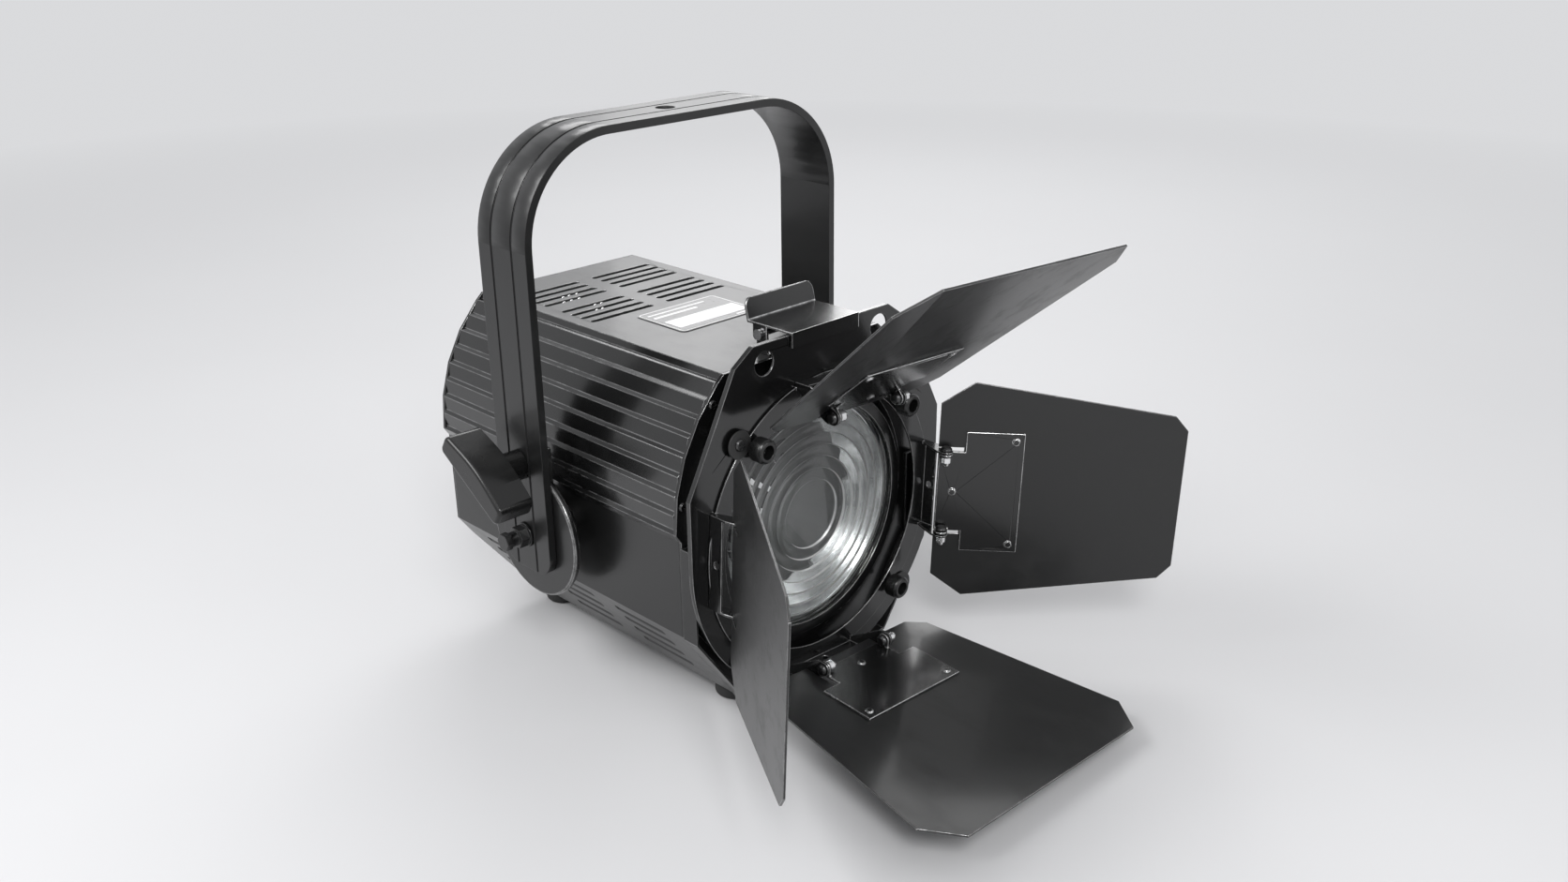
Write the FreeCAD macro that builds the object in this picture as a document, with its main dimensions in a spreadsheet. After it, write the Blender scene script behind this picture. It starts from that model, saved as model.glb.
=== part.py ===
import FreeCAD, Part
import math
import os
import re
import Sketcher
from FreeCAD import Placement, Rotation, Vector

# Fresnel spotlight with barn doors, in millimetres.
# X runs across the beam, the beam leaves towards -Y and +Z is up.
# The origin lies on the floor under the feet, below the middle of the tilt axis.

# Tolerance of a test on places
TOUCH = 1e-3
# Least share of a solid that a cut has to remove
LEAST_CUT_SHARE = 1e-6
# A corner rounded nearly to a half circle, as a share of its width or half width
END_SHARE = 0.495
ROUND_SHARE = 0.95
# The lens centre, as shares of its radius and of a tooth's height
DOME_SHARES = ((1.0, 1.0), (0.7, 0.4), (0.35, 0.1))
# The tip of a ring ear, as shares of its radius
EAR_RISE_SHARE = 0.6
EAR_TIP_SHARE = 0.8
# A domed nut's crown between its edge and its tip
NUT_CROWN_SHARE = 0.72

# Driving dimensions, each set by itself
SIZES = {
    # housing
    "body_front": 123.2, "body_back": 128.7, "beam_height": 123.0, "side_half": 107.2, "floor_half": 66.0,
    "floor_rise": 13.0, "tray_corner": 72.0, "cover_half": 68.8, "cover_sheet": 1.6, "tray_sheet": 2.0,
    "back_sheet": 2.0, "bezel_sheet": 2.5, "seam": 0.3, "overrun": 5.0,
    "rib_radius": 118.2, "rib_bulge": 3.9, "rib_rise": 7.7, "rib_shoulder": 5.2, "rib_shoulder_drop": 4.61,
    "rib_turn": 5.95, "rib_step": 1.7, "rib_lead": 1.3, "profile_wall": 3.4, "profile_lip": 15.0,
    "side_overlap": 10.0, "ledge_width": 10.8, "ledge_sheet": 3.0, "back_bevel_height": 56.0,
    "back_bevel_depth": 24.5,
    # vents
    "vent_inset": 6.4, "vent_length": 53.0, "vent_width": 4.4, "vent_pitch": 10.5, "vent_rear_first": 66.1,
    "vent_front_first": 14.4, "gill_length": 50.0, "gill_width": 3.4, "gill_middle": 3.0, "gill_spread": 74.0,
    "gill_inset": 8.0, "gill_pitch": 7.6,
    # accessory frame, holder plate and latch
    "frame_proud": 1.0, "frame_sheet": 1.5, "frame_depth": 12.1, "frame_rise": 11.5, "frame_flange": 8.0,
    "tongue_half": 26.0, "tongue_lip": 5.5, "plate_gap": 0.6, "plate_depth": 3.6, "plate_sheet": 1.6,
    "plate_edge": 6.8, "plate_shoulder_rise": 48.4, "plate_corner_half": 75.0, "plate_corner_drop": 10.4,
    "plate_top_half": 60.0, "plate_rise": 18.7, "plate_hole": 7.75, "plate_hole_reach": 51.0,
    "plate_hole_drop": 12.6,
    "latch_half": 29.7, "latch_sheet": 1.5, "latch_lip": 8.0, "latch_gap": 0.7, "latch_pin_in": 7.2,
    "latch_pin_drop": 5.0, "latch_pin_radius": 2.0, "latch_tab_rise": 15.0, "latch_tab_in": 9.7,
    "latch_tab_lean": 3.4, "latch_cheek": 6.2, "latch_ear": 4.7, "latch_clear": 0.3, "pin_head": 3.4,
    "pin_head_depth": 1.8, "pin_clear": 0.05, "spring_wire": 0.6, "spring_radius": 3.2,
    "spring_turns": 5.0, "spring_pitch": 1.9,
    # lens
    "lens_radius": 79.5, "lens_flat": 8.3, "lens_core": 18.0, "lens_tooth": 1.5, "lens_hold": 3.0,
    "lens_ring_wall": 4.5, "lens_ring_flange": 92.0, "lens_ring_depth": 7.7, "lens_ring_lip": 1.8,
    "gasket": 0.8, "bezel_rim": 2.5, "tube_back": 60.0, "tube_gap": 1.0, "tube_wall": 1.0,
    # rotating ring
    "ring_roll": 3.02, "ring_bore": 88.0, "ring_tube": 97.8, "ring_rim": 3.7, "ring_sheet": 1.5,
    "ring_run": 0.5, "ring_tube_in": 2.6, "web_inset": 1.5, "web_half": 31.2, "web_depth": 9.2,
    "web_hole": 2.2, "ear_radius": 5.0, "ear_sheet": 1.6,
    "guide_bush": 4.6, "guide_washer": 9.0, "guide_washer_sheet": 1.3, "guide_screw": 2.0,
    "guide_head": 4.1, "guide_head_depth": 1.5, "guide_clear": 0.3, "cross_reach": 2.2,
    "cross_half": 0.45, "cross_depth": 0.9,
    "knob_inset": 6.0, "knob_collar": 3.0, "knob_radius": 7.8, "knob_stand": 3.5, "knob_depth": 9.7,
    "knob_bore": 4.4, "knob_bore_depth": 7.0,
    # barn door leaves, v measured from the hinge axis
    "side_axis_in": 7.0, "side_axis_ahead": 22.2, "long_axis_in": 14.8, "long_axis_ahead": 31.2,
    "leaf_offset": 5.5, "leaf_sheet": 1.5, "side_open_right": 43.0, "side_open_left": 33.9,
    "long_open_top": 40.9, "long_open_bottom": 4.0,
    "side_root_half": 62.8, "side_root": 4.8, "side_wide_half": 78.3, "side_wide": 17.3,
    "side_tip_half": 59.5, "side_tip": 152.1, "side_end_half": 49.4, "side_end": 161.2,
    "long_root_half": 65.6, "long_root": 13.3, "long_wide_half": 77.5, "long_wide": 3.3,
    "long_tip_half": 100.6, "long_tip": 138.5, "long_end_half": 82.6, "long_end": 161.1,
    "notch_reach": 12.5, "notch_clear": 0.5, "hinge_half": 43.6, "hinge_reach": 53.0, "hinge_sheet": 1.5,
    "hinge_shoulder": 13.5, "hinge_tongue_root": 4.5, "hinge_ear_gap": 0.6,
    "rivet_radius": 2.3, "rivet_head": 1.1, "rivet_inset": 6.0, "bolt_radius": 2.0, "bolt_clear": 0.06,
    "bolt_head": 3.9, "bolt_head_depth": 2.6, "nut_radius": 3.9, "nut_depth": 3.6, "nut_dome": 3.3,
    # yoke, tilt discs and clamps
    "yoke_space": 26.7, "yoke_sheet": 5.4, "yoke_width": 49.4, "yoke_rise": 260.2, "yoke_drop": 25.0,
    "yoke_bend": 68.0, "yoke_corner": 14.0, "groove_width": 1.8, "groove_depth": 0.8, "groove_rear": 11.0,
    "groove_front": 10.0, "yoke_hole": 6.5, "pivot_drop": 12.0, "pivot_radius": 5.0,
    "disc_radius": 45.0, "disc_sheet": 5.0, "disc_hub": 20.0, "disc_rim": 1.0, "washer_radius": 8.5,
    "washer_sheet": 1.5, "pivot_nut": 7.5, "pivot_nut_depth": 6.5, "pivot_neck": 5.0, "pivot_cap": 6.2,
    "pivot_cap_depth": 5.0, "side_gap": 0.3,
    "clamp_lift": 50.0, "jaw_sheet": 5.4, "jaw_half": 12.0, "jaw_drop": 22.0, "jaw_rise": 10.0,
    "jaw_rim_gap": 0.6, "stud_radius": 4.0, "stud_length": 26.0, "clamp_hub": 10.0, "clamp_hub_depth": 13.0,
    "clamp_bar_long": 67.0, "clamp_bar_half": 7.0, "clamp_bar_crown": 13.0, "clamp_bar_bow": 90.0,
    "clamp_bar_depth": 25.0, "clamp_bar_round": 4.5, "clamp_bar_edge": 2.6, "clamp_bar_tilt": 33.0,
    # feet
    "foot_radius": 12.5, "foot_round": 3.5, "foot_hole": 3.0, "foot_recess": 4.0, "foot_inset": 16.0,
    "foot_front_inset": 17.2, "foot_rear_inset": 44.7,
    # lamp carriage
    "bulkhead_sheet": 2.0, "bulkhead_front": 60.0, "bulkhead_rear_in": 33.7, "bulkhead_gap": 9.2,
    "bulkhead_low_gap": 6.0, "bulkhead_lift": 1.0, "bulkhead_top_gap": 8.3, "bulkhead_bore": 62.0,
    "rod_radius": 4.0, "rod_inset": 14.0, "rod_drop": 27.0, "rod_clear": 0.06, "carriage_front": 14.0,
    "carriage_sheet": 3.0, "carriage_edge": 8.0, "carriage_rise": 49.0, "carriage_skirt": 10.0,
    "carriage_top_half": 46.0, "carriage_low_half": 23.0, "wing_up": 16.0, "wing_down": 12.0,
    "screw_drop": 26.0, "screw_radius": 4.0, "board_half": 26.0, "board_sheet": 3.0, "board_turn": 12.0,
    "emitter_radius": 14.0, "emitter_depth": 1.2, "sink_half": 50.0, "sink_high": 40.0, "sink_base": 7.0,
    "fin_depth": 32.0, "fin_sheet": 2.0, "fin_pitch": 8.9, "fan_half": 40.0, "fan_depth": 20.0,
    "fan_rim": 2.5, "rotor_run": 1.0, "rotor_hub": 14.0, "rotor_depth": 15.0, "blade_sheet": 1.6,
    "fan_bridge": 2.0, "fan_pin": 2.0, "focus_knob_radius": 14.0, "focus_knob_depth": 14.0,
    "focus_knob_gap": 1.0, "flute_radius": 4.0,
    # electronics
    "supply_half": 48.0, "supply_front": 10.0, "supply_gap": 5.0, "supply_high": 32.0,
    "driver_half": 46.0, "driver_front": 34.0, "driver_drop": 34.3, "driver_sheet": 1.6,
    "chip_high": 9.0, "chip_half": 9.0, "chip_long": 27.0,
    # rear panel fittings
    "fittings_drop": 31.0, "inlet_across": 62.0, "inlet_half": 14.0, "inlet_high": 10.5,
    "inlet_flange": 3.0, "inlet_deep": 22.0, "inlet_wall": 1.8, "inlet_bottom": 4.0, "inlet_proud": 1.6,
    "blade_half": 1.8, "blade_thick": 1.0, "blade_long": 14.0, "blade_spread": 7.0, "blade_low": 2.2,
    "data_in_across": 46.0, "data_out_across": 78.0, "data_half": 13.0, "data_high": 15.5, "data_bore": 9.4,
    "data_deep": 18.0, "data_wall": 1.6, "data_bottom": 3.0, "data_proud": 1.6, "contact_radius": 1.2,
    "contact_orbit": 4.2, "contact_long": 11.0,
    "display_rise": 73.0, "display_half": 28.0, "display_high": 13.0, "display_depth": 4.0,
    "display_proud": 1.2, "button_drop": 22.0, "button_pitch": 16.0, "button_radius": 3.6,
    "button_clear": 0.1, "button_proud": 2.2, "button_depth": 8.0, "button_travel": 1.2,
    "button_head": 4.6, "post_radius": 1.8,
    "grille_half": 34.0, "grille_width": 4.0, "grille_pitch": 8.0, "grille_drop": 13.0,
    "eye_across": 52.0, "eye_drop": 14.3, "eye_radius": 9.0, "eye_bore": 5.5, "eye_sheet": 4.0,
    "eye_base": 2.0, "eye_round": 8.5, "screw_head": 3.2, "screw_head_depth": 1.6, "screw_inset": 5.0,
}

# Sizes that follow from the driving ones
DERIVED = {
    # housing
    "ridge_half": "side_half + rib_bulge",
    "rib_centre_in": "rib_radius - ridge_half",
    "profile_lip_height": "beam_height + profile_lip",
    "rib_centre_height": "profile_lip_height + rib_rise",
    "rib_first_angle": "acos((cover_half + rib_shoulder + rib_centre_in) / rib_radius) / 1 deg",
    "cover_top": "rib_centre_height + rib_radius * sin(rib_first_angle) + rib_shoulder_drop",
    "side_top": "profile_lip_height + side_overlap",
    "ledge_reach": "cover_half - ledge_width",
    "body_length": "body_front + body_back - back_sheet",
    "bezel_front": "body_front + bezel_sheet",
    # accessory frame and holder plate
    "frame_top": "beam_height + frame_rise",
    "frame_floor": "floor_rise - frame_proud",
    "plate_back": "bezel_front + frame_depth + plate_gap",
    "plate_front": "plate_back + plate_depth",
    "plate_top": "cover_top + plate_rise",
    "plate_corner_height": "plate_top - plate_corner_drop",
    "plate_hole_height": "plate_top - plate_hole_drop",
    "plate_shoulder": "beam_height + plate_shoulder_rise",
    "plate_foot": "frame_floor + frame_sheet + guide_clear",
    "plate_bore": "ring_tube + ring_run",
    "latch_pin_back": "body_front - latch_pin_in",
    "latch_pin_height": "plate_top - latch_pin_drop",
    "latch_lip_height": "plate_top - latch_lip",
    "latch_tab_top": "plate_top + latch_tab_rise",
    "latch_tab_foot": "latch_pin_back - latch_tab_in",
    # rotating ring
    "ring_back": "plate_back - ring_tube_in",
    "ring_face": "plate_front + guide_clear + ring_sheet",
    "ring_flange": "ring_tube + ring_rim",
    "web_out": "ring_flange - web_inset",
    "web_front": "ring_face + web_depth",
    "guide_orbit": "ring_flange + guide_bush + guide_clear",
    "plate_radius": "guide_orbit + plate_edge",
    "knob_orbit": "ring_bore + knob_inset",
    "knob_start": "ring_face + knob_stand",
    "knob_end": "knob_start + knob_depth",
    "side_axis_out": "web_out - side_axis_in",
    "side_axis_front": "ring_face + side_axis_ahead",
    "long_axis_out": "web_out - long_axis_in",
    "long_axis_front": "ring_face + long_axis_ahead",
    "hinge_ear_out": "web_half - ear_sheet - hinge_ear_gap",
    "bolt_inner": "hinge_ear_out - ear_sheet - hinge_ear_gap",
    "bolt_outer": "web_half + bolt_clear",
    # lens
    "bezel_bore": "lens_radius - bezel_rim",
    "lens_ring_bore": "lens_radius - lens_hold",
    "lens_ring_radius": "lens_radius + lens_ring_wall",
    "lens_ring_front": "bezel_front + lens_ring_depth",
    "lens_step": "(lens_radius - lens_flat - lens_core) / lens_teeth",
    "tube_front": "bezel_bore - tube_gap",
    "tube_end": "bulkhead_front - bulkhead_sheet",
    # yoke and clamps
    "yoke_half": "side_half + yoke_space",
    "pivot_height": "beam_height - pivot_drop",
    "yoke_top": "pivot_height + yoke_rise",
    "yoke_foot": "pivot_height - yoke_drop",
    "clamp_height": "pivot_height + clamp_lift",
    # lamp carriage and electronics
    "bulkhead_rear": "body_back - bulkhead_rear_in",
    "bulkhead_half": "side_half - bulkhead_gap",
    "bulkhead_low_half": "floor_half - bulkhead_low_gap",
    "bulkhead_low": "floor_rise + tray_sheet + bulkhead_lift",
    "bulkhead_waist": "tray_corner + bulkhead_low_gap",
    "bulkhead_top": "cover_top - bulkhead_top_gap",
    "rod_reach": "bulkhead_half - rod_inset",
    "rod_height": "beam_height - rod_drop",
    "screw_height": "rod_height - screw_drop",
    "carriage_back": "carriage_front - carriage_sheet",
    "carriage_half": "rod_reach + carriage_edge",
    "carriage_top": "beam_height + carriage_rise",
    "carriage_low": "screw_height - carriage_skirt",
    "fan_bore": "fan_half - fan_rim",
    "rotor_radius": "fan_bore - rotor_run",
    "supply_back": "bulkhead_rear - supply_gap",
    "driver_height": "cover_top - driver_drop",
    # rear panel fittings
    "fittings_height": "beam_height - fittings_drop",
    "display_height": "beam_height + display_rise",
    "button_height": "display_height - button_drop",
    "grille_height": "beam_height - grille_drop",
    "eye_height": "cover_top - eye_drop",
    "foot_half": "floor_half - foot_inset",
    "foot_front": "body_front - foot_front_inset",
    "foot_rear": "body_back - foot_rear_inset",
}

# Numbers of like features
COUNTS = {
    "vent_rows": 4, "gill_rows": 4, "rib_count": 9, "lens_teeth": 9, "fin_count": 11, "grille_rows": 6,
    "blade_count": 7, "button_count": 4, "flute_count": 8, "corner_count": 4,
}
VENT_ROWS, GILL_ROWS, RIB_COUNT, LENS_TEETH, FIN_COUNT, GRILLE_ROWS = list(COUNTS.values())[:6]
BLADE_COUNT, BUTTON_COUNT, FLUTE_COUNT, CORNER_COUNT = list(COUNTS.values())[6:]

FULL_TURN = 360
HALF_TURN = FULL_TURN / 2
QUARTER_TURN = FULL_TURN / CORNER_COUNT
DIAGONALS = [QUARTER_TURN * i + QUARTER_TURN / 2 for i in range(CORNER_COUNT)]

NAMES = {**SIZES, **DERIVED, **COUNTS}

document = FreeCAD.newDocument("spotlight")
sheet = document.addObject("Spreadsheet::Sheet", "sizes")
for row, alias in enumerate(NAMES, start=1):
    sheet.set("A%d" % row, alias)
    sheet.setAlias("B%d" % row, alias)
for row, content in enumerate(NAMES.values(), start=1):
    sheet.set("B%d" % row, "=" + content if isinstance(content, str) else str(content))
document.recompute()

parts = []


def bound(text):
    """An expression in plain size names, with each name looked up in the sheet."""
    def with_sheet(word):
        return "sizes." + word.group() if word.group() in NAMES else word.group()

    return re.sub(r"[a-z_]+", with_sheet, text)


def value(text):
    """The number that an expression gives now."""
    result = sheet.evalExpression(text)
    return float(getattr(result, "Value", result))


def bind(thing, place, text):
    """Binds one property of a feature to an expression in size names."""
    if text == "0":
        return
    thing.setExpression(place, bound(text))


def new_body(name):
    """A body that becomes one sub-part."""
    body = document.addObject("PartDesign::Body", name)
    body.Label = name
    return body


def origin_plane(body, role):
    """One of the body's own origin planes."""
    return [feature for feature in body.Origin.OriginFeatures if feature.Role == role][0]


def new_sketch(body, role, offset="0"):
    """A sketch on an origin plane, moved along its normal by an expression."""
    sketch = body.newObject("Sketcher::SketchObject", body.Name + "_sketch")
    sketch.AttachmentSupport = [(origin_plane(body, role), "")]
    sketch.MapMode = "FlatFace"
    bind(sketch, ".AttachmentOffset.Base.z", offset)
    return sketch


def datum(sketch, kind, *rest):
    """A dimension of a sketch whose last argument is an expression."""
    index = sketch.addConstraint(Sketcher.Constraint(kind, *rest[:-1], value(rest[-1])))
    bind(sketch, "Constraints[%d]" % index, rest[-1])


def pin_point(sketch, geometry, end, across, along):
    """Ties a point of a sketch to two expressions measured from the origin."""
    datum(sketch, "DistanceX", -1, 1, geometry, end, across)
    datum(sketch, "DistanceY", -1, 1, geometry, end, along)


def outline(sketch, corners):
    """A closed outline through corners (across, along) or (across, along, radius), each an expression."""
    count = len(corners)
    places = [Vector(value(corner[0]), value(corner[1]), 0) for corner in corners]
    starts, ends, arcs = [], [], {}
    for i, corner in enumerate(corners):
        if len(corner) == 2:
            starts.append(places[i])
            ends.append(places[i])
            continue
        back = (places[i - 1] - places[i]).normalize()
        ahead = (places[(i + 1) % count] - places[i]).normalize()
        half = back.getAngle(ahead) / 2
        radius = value(corner[2])
        reach = radius / math.tan(half)
        ends.append(places[i] + back * reach)
        starts.append(places[i] + ahead * reach)
        middle = (back + ahead).normalize()
        centre = places[i] + middle * (radius / math.sin(half))
        leftward = (ends[i] - centre).cross(starts[i] - centre).z > 0
        first, last = (ends[i], starts[i]) if leftward else (starts[i], ends[i])
        low, high = [math.atan2(point.y - centre.y, point.x - centre.x) for point in (first, last)]
        full = high if high > low else high + 2 * math.pi
        arcs[i] = Part.ArcOfCircle(Part.Circle(centre, Vector(0, 0, 1), radius), low, full), leftward
    lines = [sketch.addGeometry(Part.LineSegment(starts[i], ends[(i + 1) % count])) for i in range(count)]
    for i, corner in enumerate(corners):
        before, after = lines[i - 1], lines[i]
        if i not in arcs:
            sketch.addConstraint(Sketcher.Constraint("Coincident", before, 2, after, 1))
            pin_point(sketch, after, 1, corner[0], corner[1])
            continue
        arc = sketch.addGeometry(arcs[i][0])
        first, last = (1, 2) if arcs[i][1] else (2, 1)
        sketch.addConstraint(Sketcher.Constraint("Tangent", before, 2, arc, first))
        sketch.addConstraint(Sketcher.Constraint("Tangent", arc, last, after, 1))
        datum(sketch, "Radius", arc, corner[2])
        point = sketch.addGeometry(Part.Point(places[i]), True)
        pin_point(sketch, point, 1, corner[0], corner[1])
        sketch.addConstraint(Sketcher.Constraint("PointOnObject", point, 1, before))
        sketch.addConstraint(Sketcher.Constraint("PointOnObject", point, 1, after))


def circle(sketch, across, along, radius):
    """A circle whose centre and radius are expressions."""
    centre = Vector(value(across), value(along), 0)
    geometry = sketch.addGeometry(Part.Circle(centre, Vector(0, 0, 1), value(radius)))
    pin_point(sketch, geometry, 3, across, along)
    datum(sketch, "Radius", geometry, radius)


def rectangle(sketch, low_across, high_across, low_along, high_along):
    """An upright rectangle between expressions."""
    low = [(low_across, low_along), (high_across, low_along)]
    outline(sketch, low + [(high_across, high_along), (low_across, high_along)])


def slot(sketch, low_across, high_across, low_along, high_along, width):
    """A rectangle whose corners are rounded nearly to half of its width."""
    end = "%s * %s" % (width, END_SHARE)
    low = [(low_across, low_along, end), (high_across, low_along, end)]
    outline(sketch, low + [(high_across, high_along, end), (low_across, high_along, end)])


def cross_recess(body, front):
    """Cuts a cross into a screw head whose face lies at a distance in front."""
    sketch = new_sketch(body, "XZ_Plane", front)
    outline(sketch, [
        ("cross_reach", "-cross_half"), ("cross_reach", "cross_half"), ("cross_half", "cross_half"),
        ("cross_half", "cross_reach"), ("-cross_half", "cross_reach"), ("-cross_half", "cross_half"),
        ("-cross_reach", "cross_half"), ("-cross_reach", "-cross_half"), ("-cross_half", "-cross_half"),
        ("-cross_half", "-cross_reach"), ("cross_half", "-cross_reach"), ("cross_half", "-cross_half"),
    ])
    pocket(body, sketch, "cross_depth")


def feature(body, kind, profile):
    """A PartDesign feature made from a profile sketch."""
    made = body.newObject("PartDesign::" + kind, body.Name + "_" + kind.lower())
    made.Profile = profile
    profile.Visibility = False
    return made


def pad(body, sketch, length, backwards=False, both=False):
    """Adds the sketch's area over a length, along its normal, against it or half each way."""
    made = feature(body, "Pad", sketch)
    bind(made, "Length", length)
    made.Reversed = backwards
    made.Midplane = both
    return made


def pocket(body, sketch, length, backwards=False, both=False):
    """Cuts the sketch's area over a length and checks that it removed something."""
    document.recompute()
    before = body.Shape.Volume
    made = feature(body, "Pocket", sketch)
    bind(made, "Length", length)
    made.Reversed = backwards
    made.Midplane = both
    document.recompute()
    if before - body.Shape.Volume < LEAST_CUT_SHARE * before:
        raise ValueError("a cut in %s removes nothing" % body.Name)
    return made


def revolve(body, sketch, axis="V_Axis", kind="Revolution"):
    """Turns the sketch's area about one of the sketch's own axes."""
    made = feature(body, kind, sketch)
    made.ReferenceAxis = (sketch, [axis])
    made.Angle = FULL_TURN
    return made


def repeat(body, source, axis, count, pitch):
    """Repeats a feature in a row along an origin axis."""
    made = body.newObject("PartDesign::LinearPattern", body.Name + "_row")
    made.Originals = [source]
    made.Direction = ([line for line in body.Origin.OriginFeatures if line.Role == axis][0], [""])
    made.Mode = "Spacing"
    made.Occurrences = count
    bind(made, "Offset", pitch)
    body.Tip = made
    return made


def repeat_round(body, source, count):
    """Repeats a feature evenly about the body's own Y axis."""
    made = body.newObject("PartDesign::PolarPattern", body.Name + "_ring")
    made.Originals = [source]
    made.Axis = ([line for line in body.Origin.OriginFeatures if line.Role == "Y_Axis"][0], [""])
    made.Angle = FULL_TURN
    made.Occurrences = count
    body.Tip = made
    return made


def round_edges(body, radius, chosen, kind="Fillet", amount="Radius"):
    """Rounds the edges of the body that a test picks."""
    document.recompute()
    tip = body.Tip
    names = ["Edge%d" % (i + 1) for i, edge in enumerate(tip.Shape.Edges) if chosen(edge)]
    if not names:
        raise ValueError("no edge to round in %s" % body.Name)
    made = body.newObject("PartDesign::" + kind, body.Name + "_round")
    made.Base = (tip, names)
    bind(made, amount if kind == "Fillet" else "Size", radius)
    return made


def straight_along(edge, axis):
    """Whether an edge is a straight line along one of the axes."""
    if edge.Curve.TypeId != "Part::GeomLine":
        return False
    run = edge.Vertexes[-1].Point - edge.Vertexes[0].Point
    return abs(abs(run[axis]) - run.Length) < TOUCH


def place(thing, position=Vector(0, 0, 0), rotation=Rotation()):
    """Sets a sub-part's Placement and lists it for export."""
    thing.Placement = Placement(position, rotation)
    parts.append(thing)
    return thing


def group(name, shapes):
    """A sub-part of identical solids, copied from one master at several places."""
    made = document.addObject("Part::Feature", name)
    made.Label = name
    made.Shape = Part.makeCompound(shapes)
    made.Placement = Placement()
    parts.append(made)
    return made


def both_sides(points):
    """A symmetric outline from its right half, listed from top to bottom."""
    return points + [("-(%s)" % corner[0],) + tuple(corner[1:]) for corner in reversed(points)]


# Housing: ribbed side profiles, top cover, tray, bezel and rear panel

CHAMFER_TURN = "atan((side_half - floor_half) / (tray_corner - floor_rise))"


def flank(angle, depth="0"):
    """A point on the round flank of the side profile."""
    radius = "(rib_radius - (%s))" % depth
    return (
        "%s * cos(%s) - rib_centre_in" % (radius, angle),
        "%s * sin(%s) + rib_centre_height" % (radius, angle),
    )


def side_profile(name, mirrored):
    """Extruded side with saw-tooth cooling ribs, a ledge for the cover and a lip over the tray."""
    body = new_body(name)
    points = [("cover_half + seam", "cover_top")]
    for i in range(RIB_COUNT):
        angle = "(rib_first_angle - %d * rib_turn)" % i
        points.append(flank(angle + " + rib_lead", "rib_step"))
        points.append(flank(angle))
    points.append(("side_half + seam", "profile_lip_height"))
    for i in range(RIB_COUNT - 1, 0, -2):
        points.append(flank("(rib_first_angle - %d * rib_turn)" % i, "profile_wall"))
    points.append(flank("rib_first_angle", "profile_wall + cover_sheet"))
    points.append(("ledge_reach", "cover_top - cover_sheet - seam - ledge_sheet"))
    points.append(("ledge_reach", "cover_top - cover_sheet - seam"))
    points.append(("cover_half + seam", "cover_top - cover_sheet - seam"))
    sketch = new_sketch(body, "XZ_Plane", "body_front")
    if mirrored:
        points = [("-(%s)" % across, along) for across, along in points]
    outline(sketch, points)
    pad(body, sketch, "body_length", backwards=True)
    return place(body)


def top_cover():
    """Flat sheet with four groups of ventilation slots, two by two."""
    body = new_body("top_cover")
    sketch = new_sketch(body, "XY_Plane", "cover_top")
    rectangle(sketch, "-cover_half", "cover_half", "-body_front", "body_back - back_sheet")
    pad(body, sketch, "cover_sheet", backwards=True)
    slots = new_sketch(body, "XY_Plane", "cover_top")
    far = "(vent_inset + vent_length)"
    for low, high in (("vent_inset", far), ("-" + far, "-vent_inset")):
        for first in ("vent_front_first", "vent_rear_first"):
            slot(slots, low, high, first + " - vent_width / 2", first + " + vent_width / 2", "vent_width")
    cut = pocket(body, slots, "cover_sheet + overrun")
    repeat(body, cut, "Y_Axis", VENT_ROWS, "vent_pitch")
    return place(body)


def tray_outline(inset, top):
    """Right half of the tray's section, moved inwards by an expression."""
    return [
        ("side_half - (%s)" % inset, top),
        ("side_half - (%s)" % inset, "tray_corner + (%s) * tan(%s / 2)" % (inset, CHAMFER_TURN)),
        ("floor_half - (%s) * tan(45 deg - %s / 2)" % (inset, CHAMFER_TURN), "floor_rise + (%s)" % inset),
    ]


def bottom_tray():
    """Folded lower shell with plain side panels, slanted corners with gills and a bevelled back."""
    body = new_body("bottom_tray")
    sketch = new_sketch(body, "XZ_Plane", "body_front")
    right = tray_outline("0", "side_top")
    inner = tray_outline("tray_sheet", "side_top")
    left = [("-(%s)" % across, along) for across, along in reversed(right)]
    inner_left = [("-(%s)" % across, along) for across, along in inner]
    outline(sketch, right + left + inner_left + list(reversed(inner)))
    pad(body, sketch, "body_length", backwards=True)
    bevel = new_sketch(body, "YZ_Plane")
    outline(bevel, [
        ("body_back - back_sheet", "back_bevel_height"),
        ("body_back - back_sheet - back_bevel_depth", "floor_rise"),
        ("body_back - back_sheet - back_bevel_depth", "floor_rise - overrun"),
        ("body_back + overrun", "floor_rise - overrun"),
        ("body_back + overrun", "back_bevel_height"),
    ])
    pocket(body, bevel, "2 * side_half + overrun", both=True)
    for row in range(GILL_ROWS):
        gills = new_sketch(body, "XY_Plane")
        for side in ("", "-"):
            across = "%s(side_half - gill_inset - %d * gill_pitch)" % (side, row)
            for group_turn in (-1, 0, 1):
                middle = "gill_middle + %d * gill_spread" % group_turn
                slot(gills, across + " - gill_width / 2", across + " + gill_width / 2",
                     middle + " - gill_length / 2", middle + " + gill_length / 2", "gill_width")
        pocket(body, gills, "tray_corner", backwards=True)
    return place(body)


def section_outline(inset="0"):
    """The housing's smooth section, right half from the cover down to the floor."""
    points = [("cover_half - (%s) / 2" % inset, "cover_top - (%s)" % inset)]
    for i in range(0, RIB_COUNT, 2):
        points.append(flank("rib_first_angle - %d * rib_turn" % i, inset))
    points.append(("side_half - (%s)" % inset, "profile_lip_height"))
    return points + tray_outline(inset, "frame_top")[1:]


def front_bezel():
    """Front plate that closes the housing round the lens."""
    body = new_body("front_bezel")
    sketch = new_sketch(body, "XZ_Plane", "body_front")
    outline(sketch, both_sides(section_outline()))
    circle(sketch, "0", "beam_height", "bezel_bore")
    pad(body, sketch, "bezel_sheet")
    return place(body)


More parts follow.
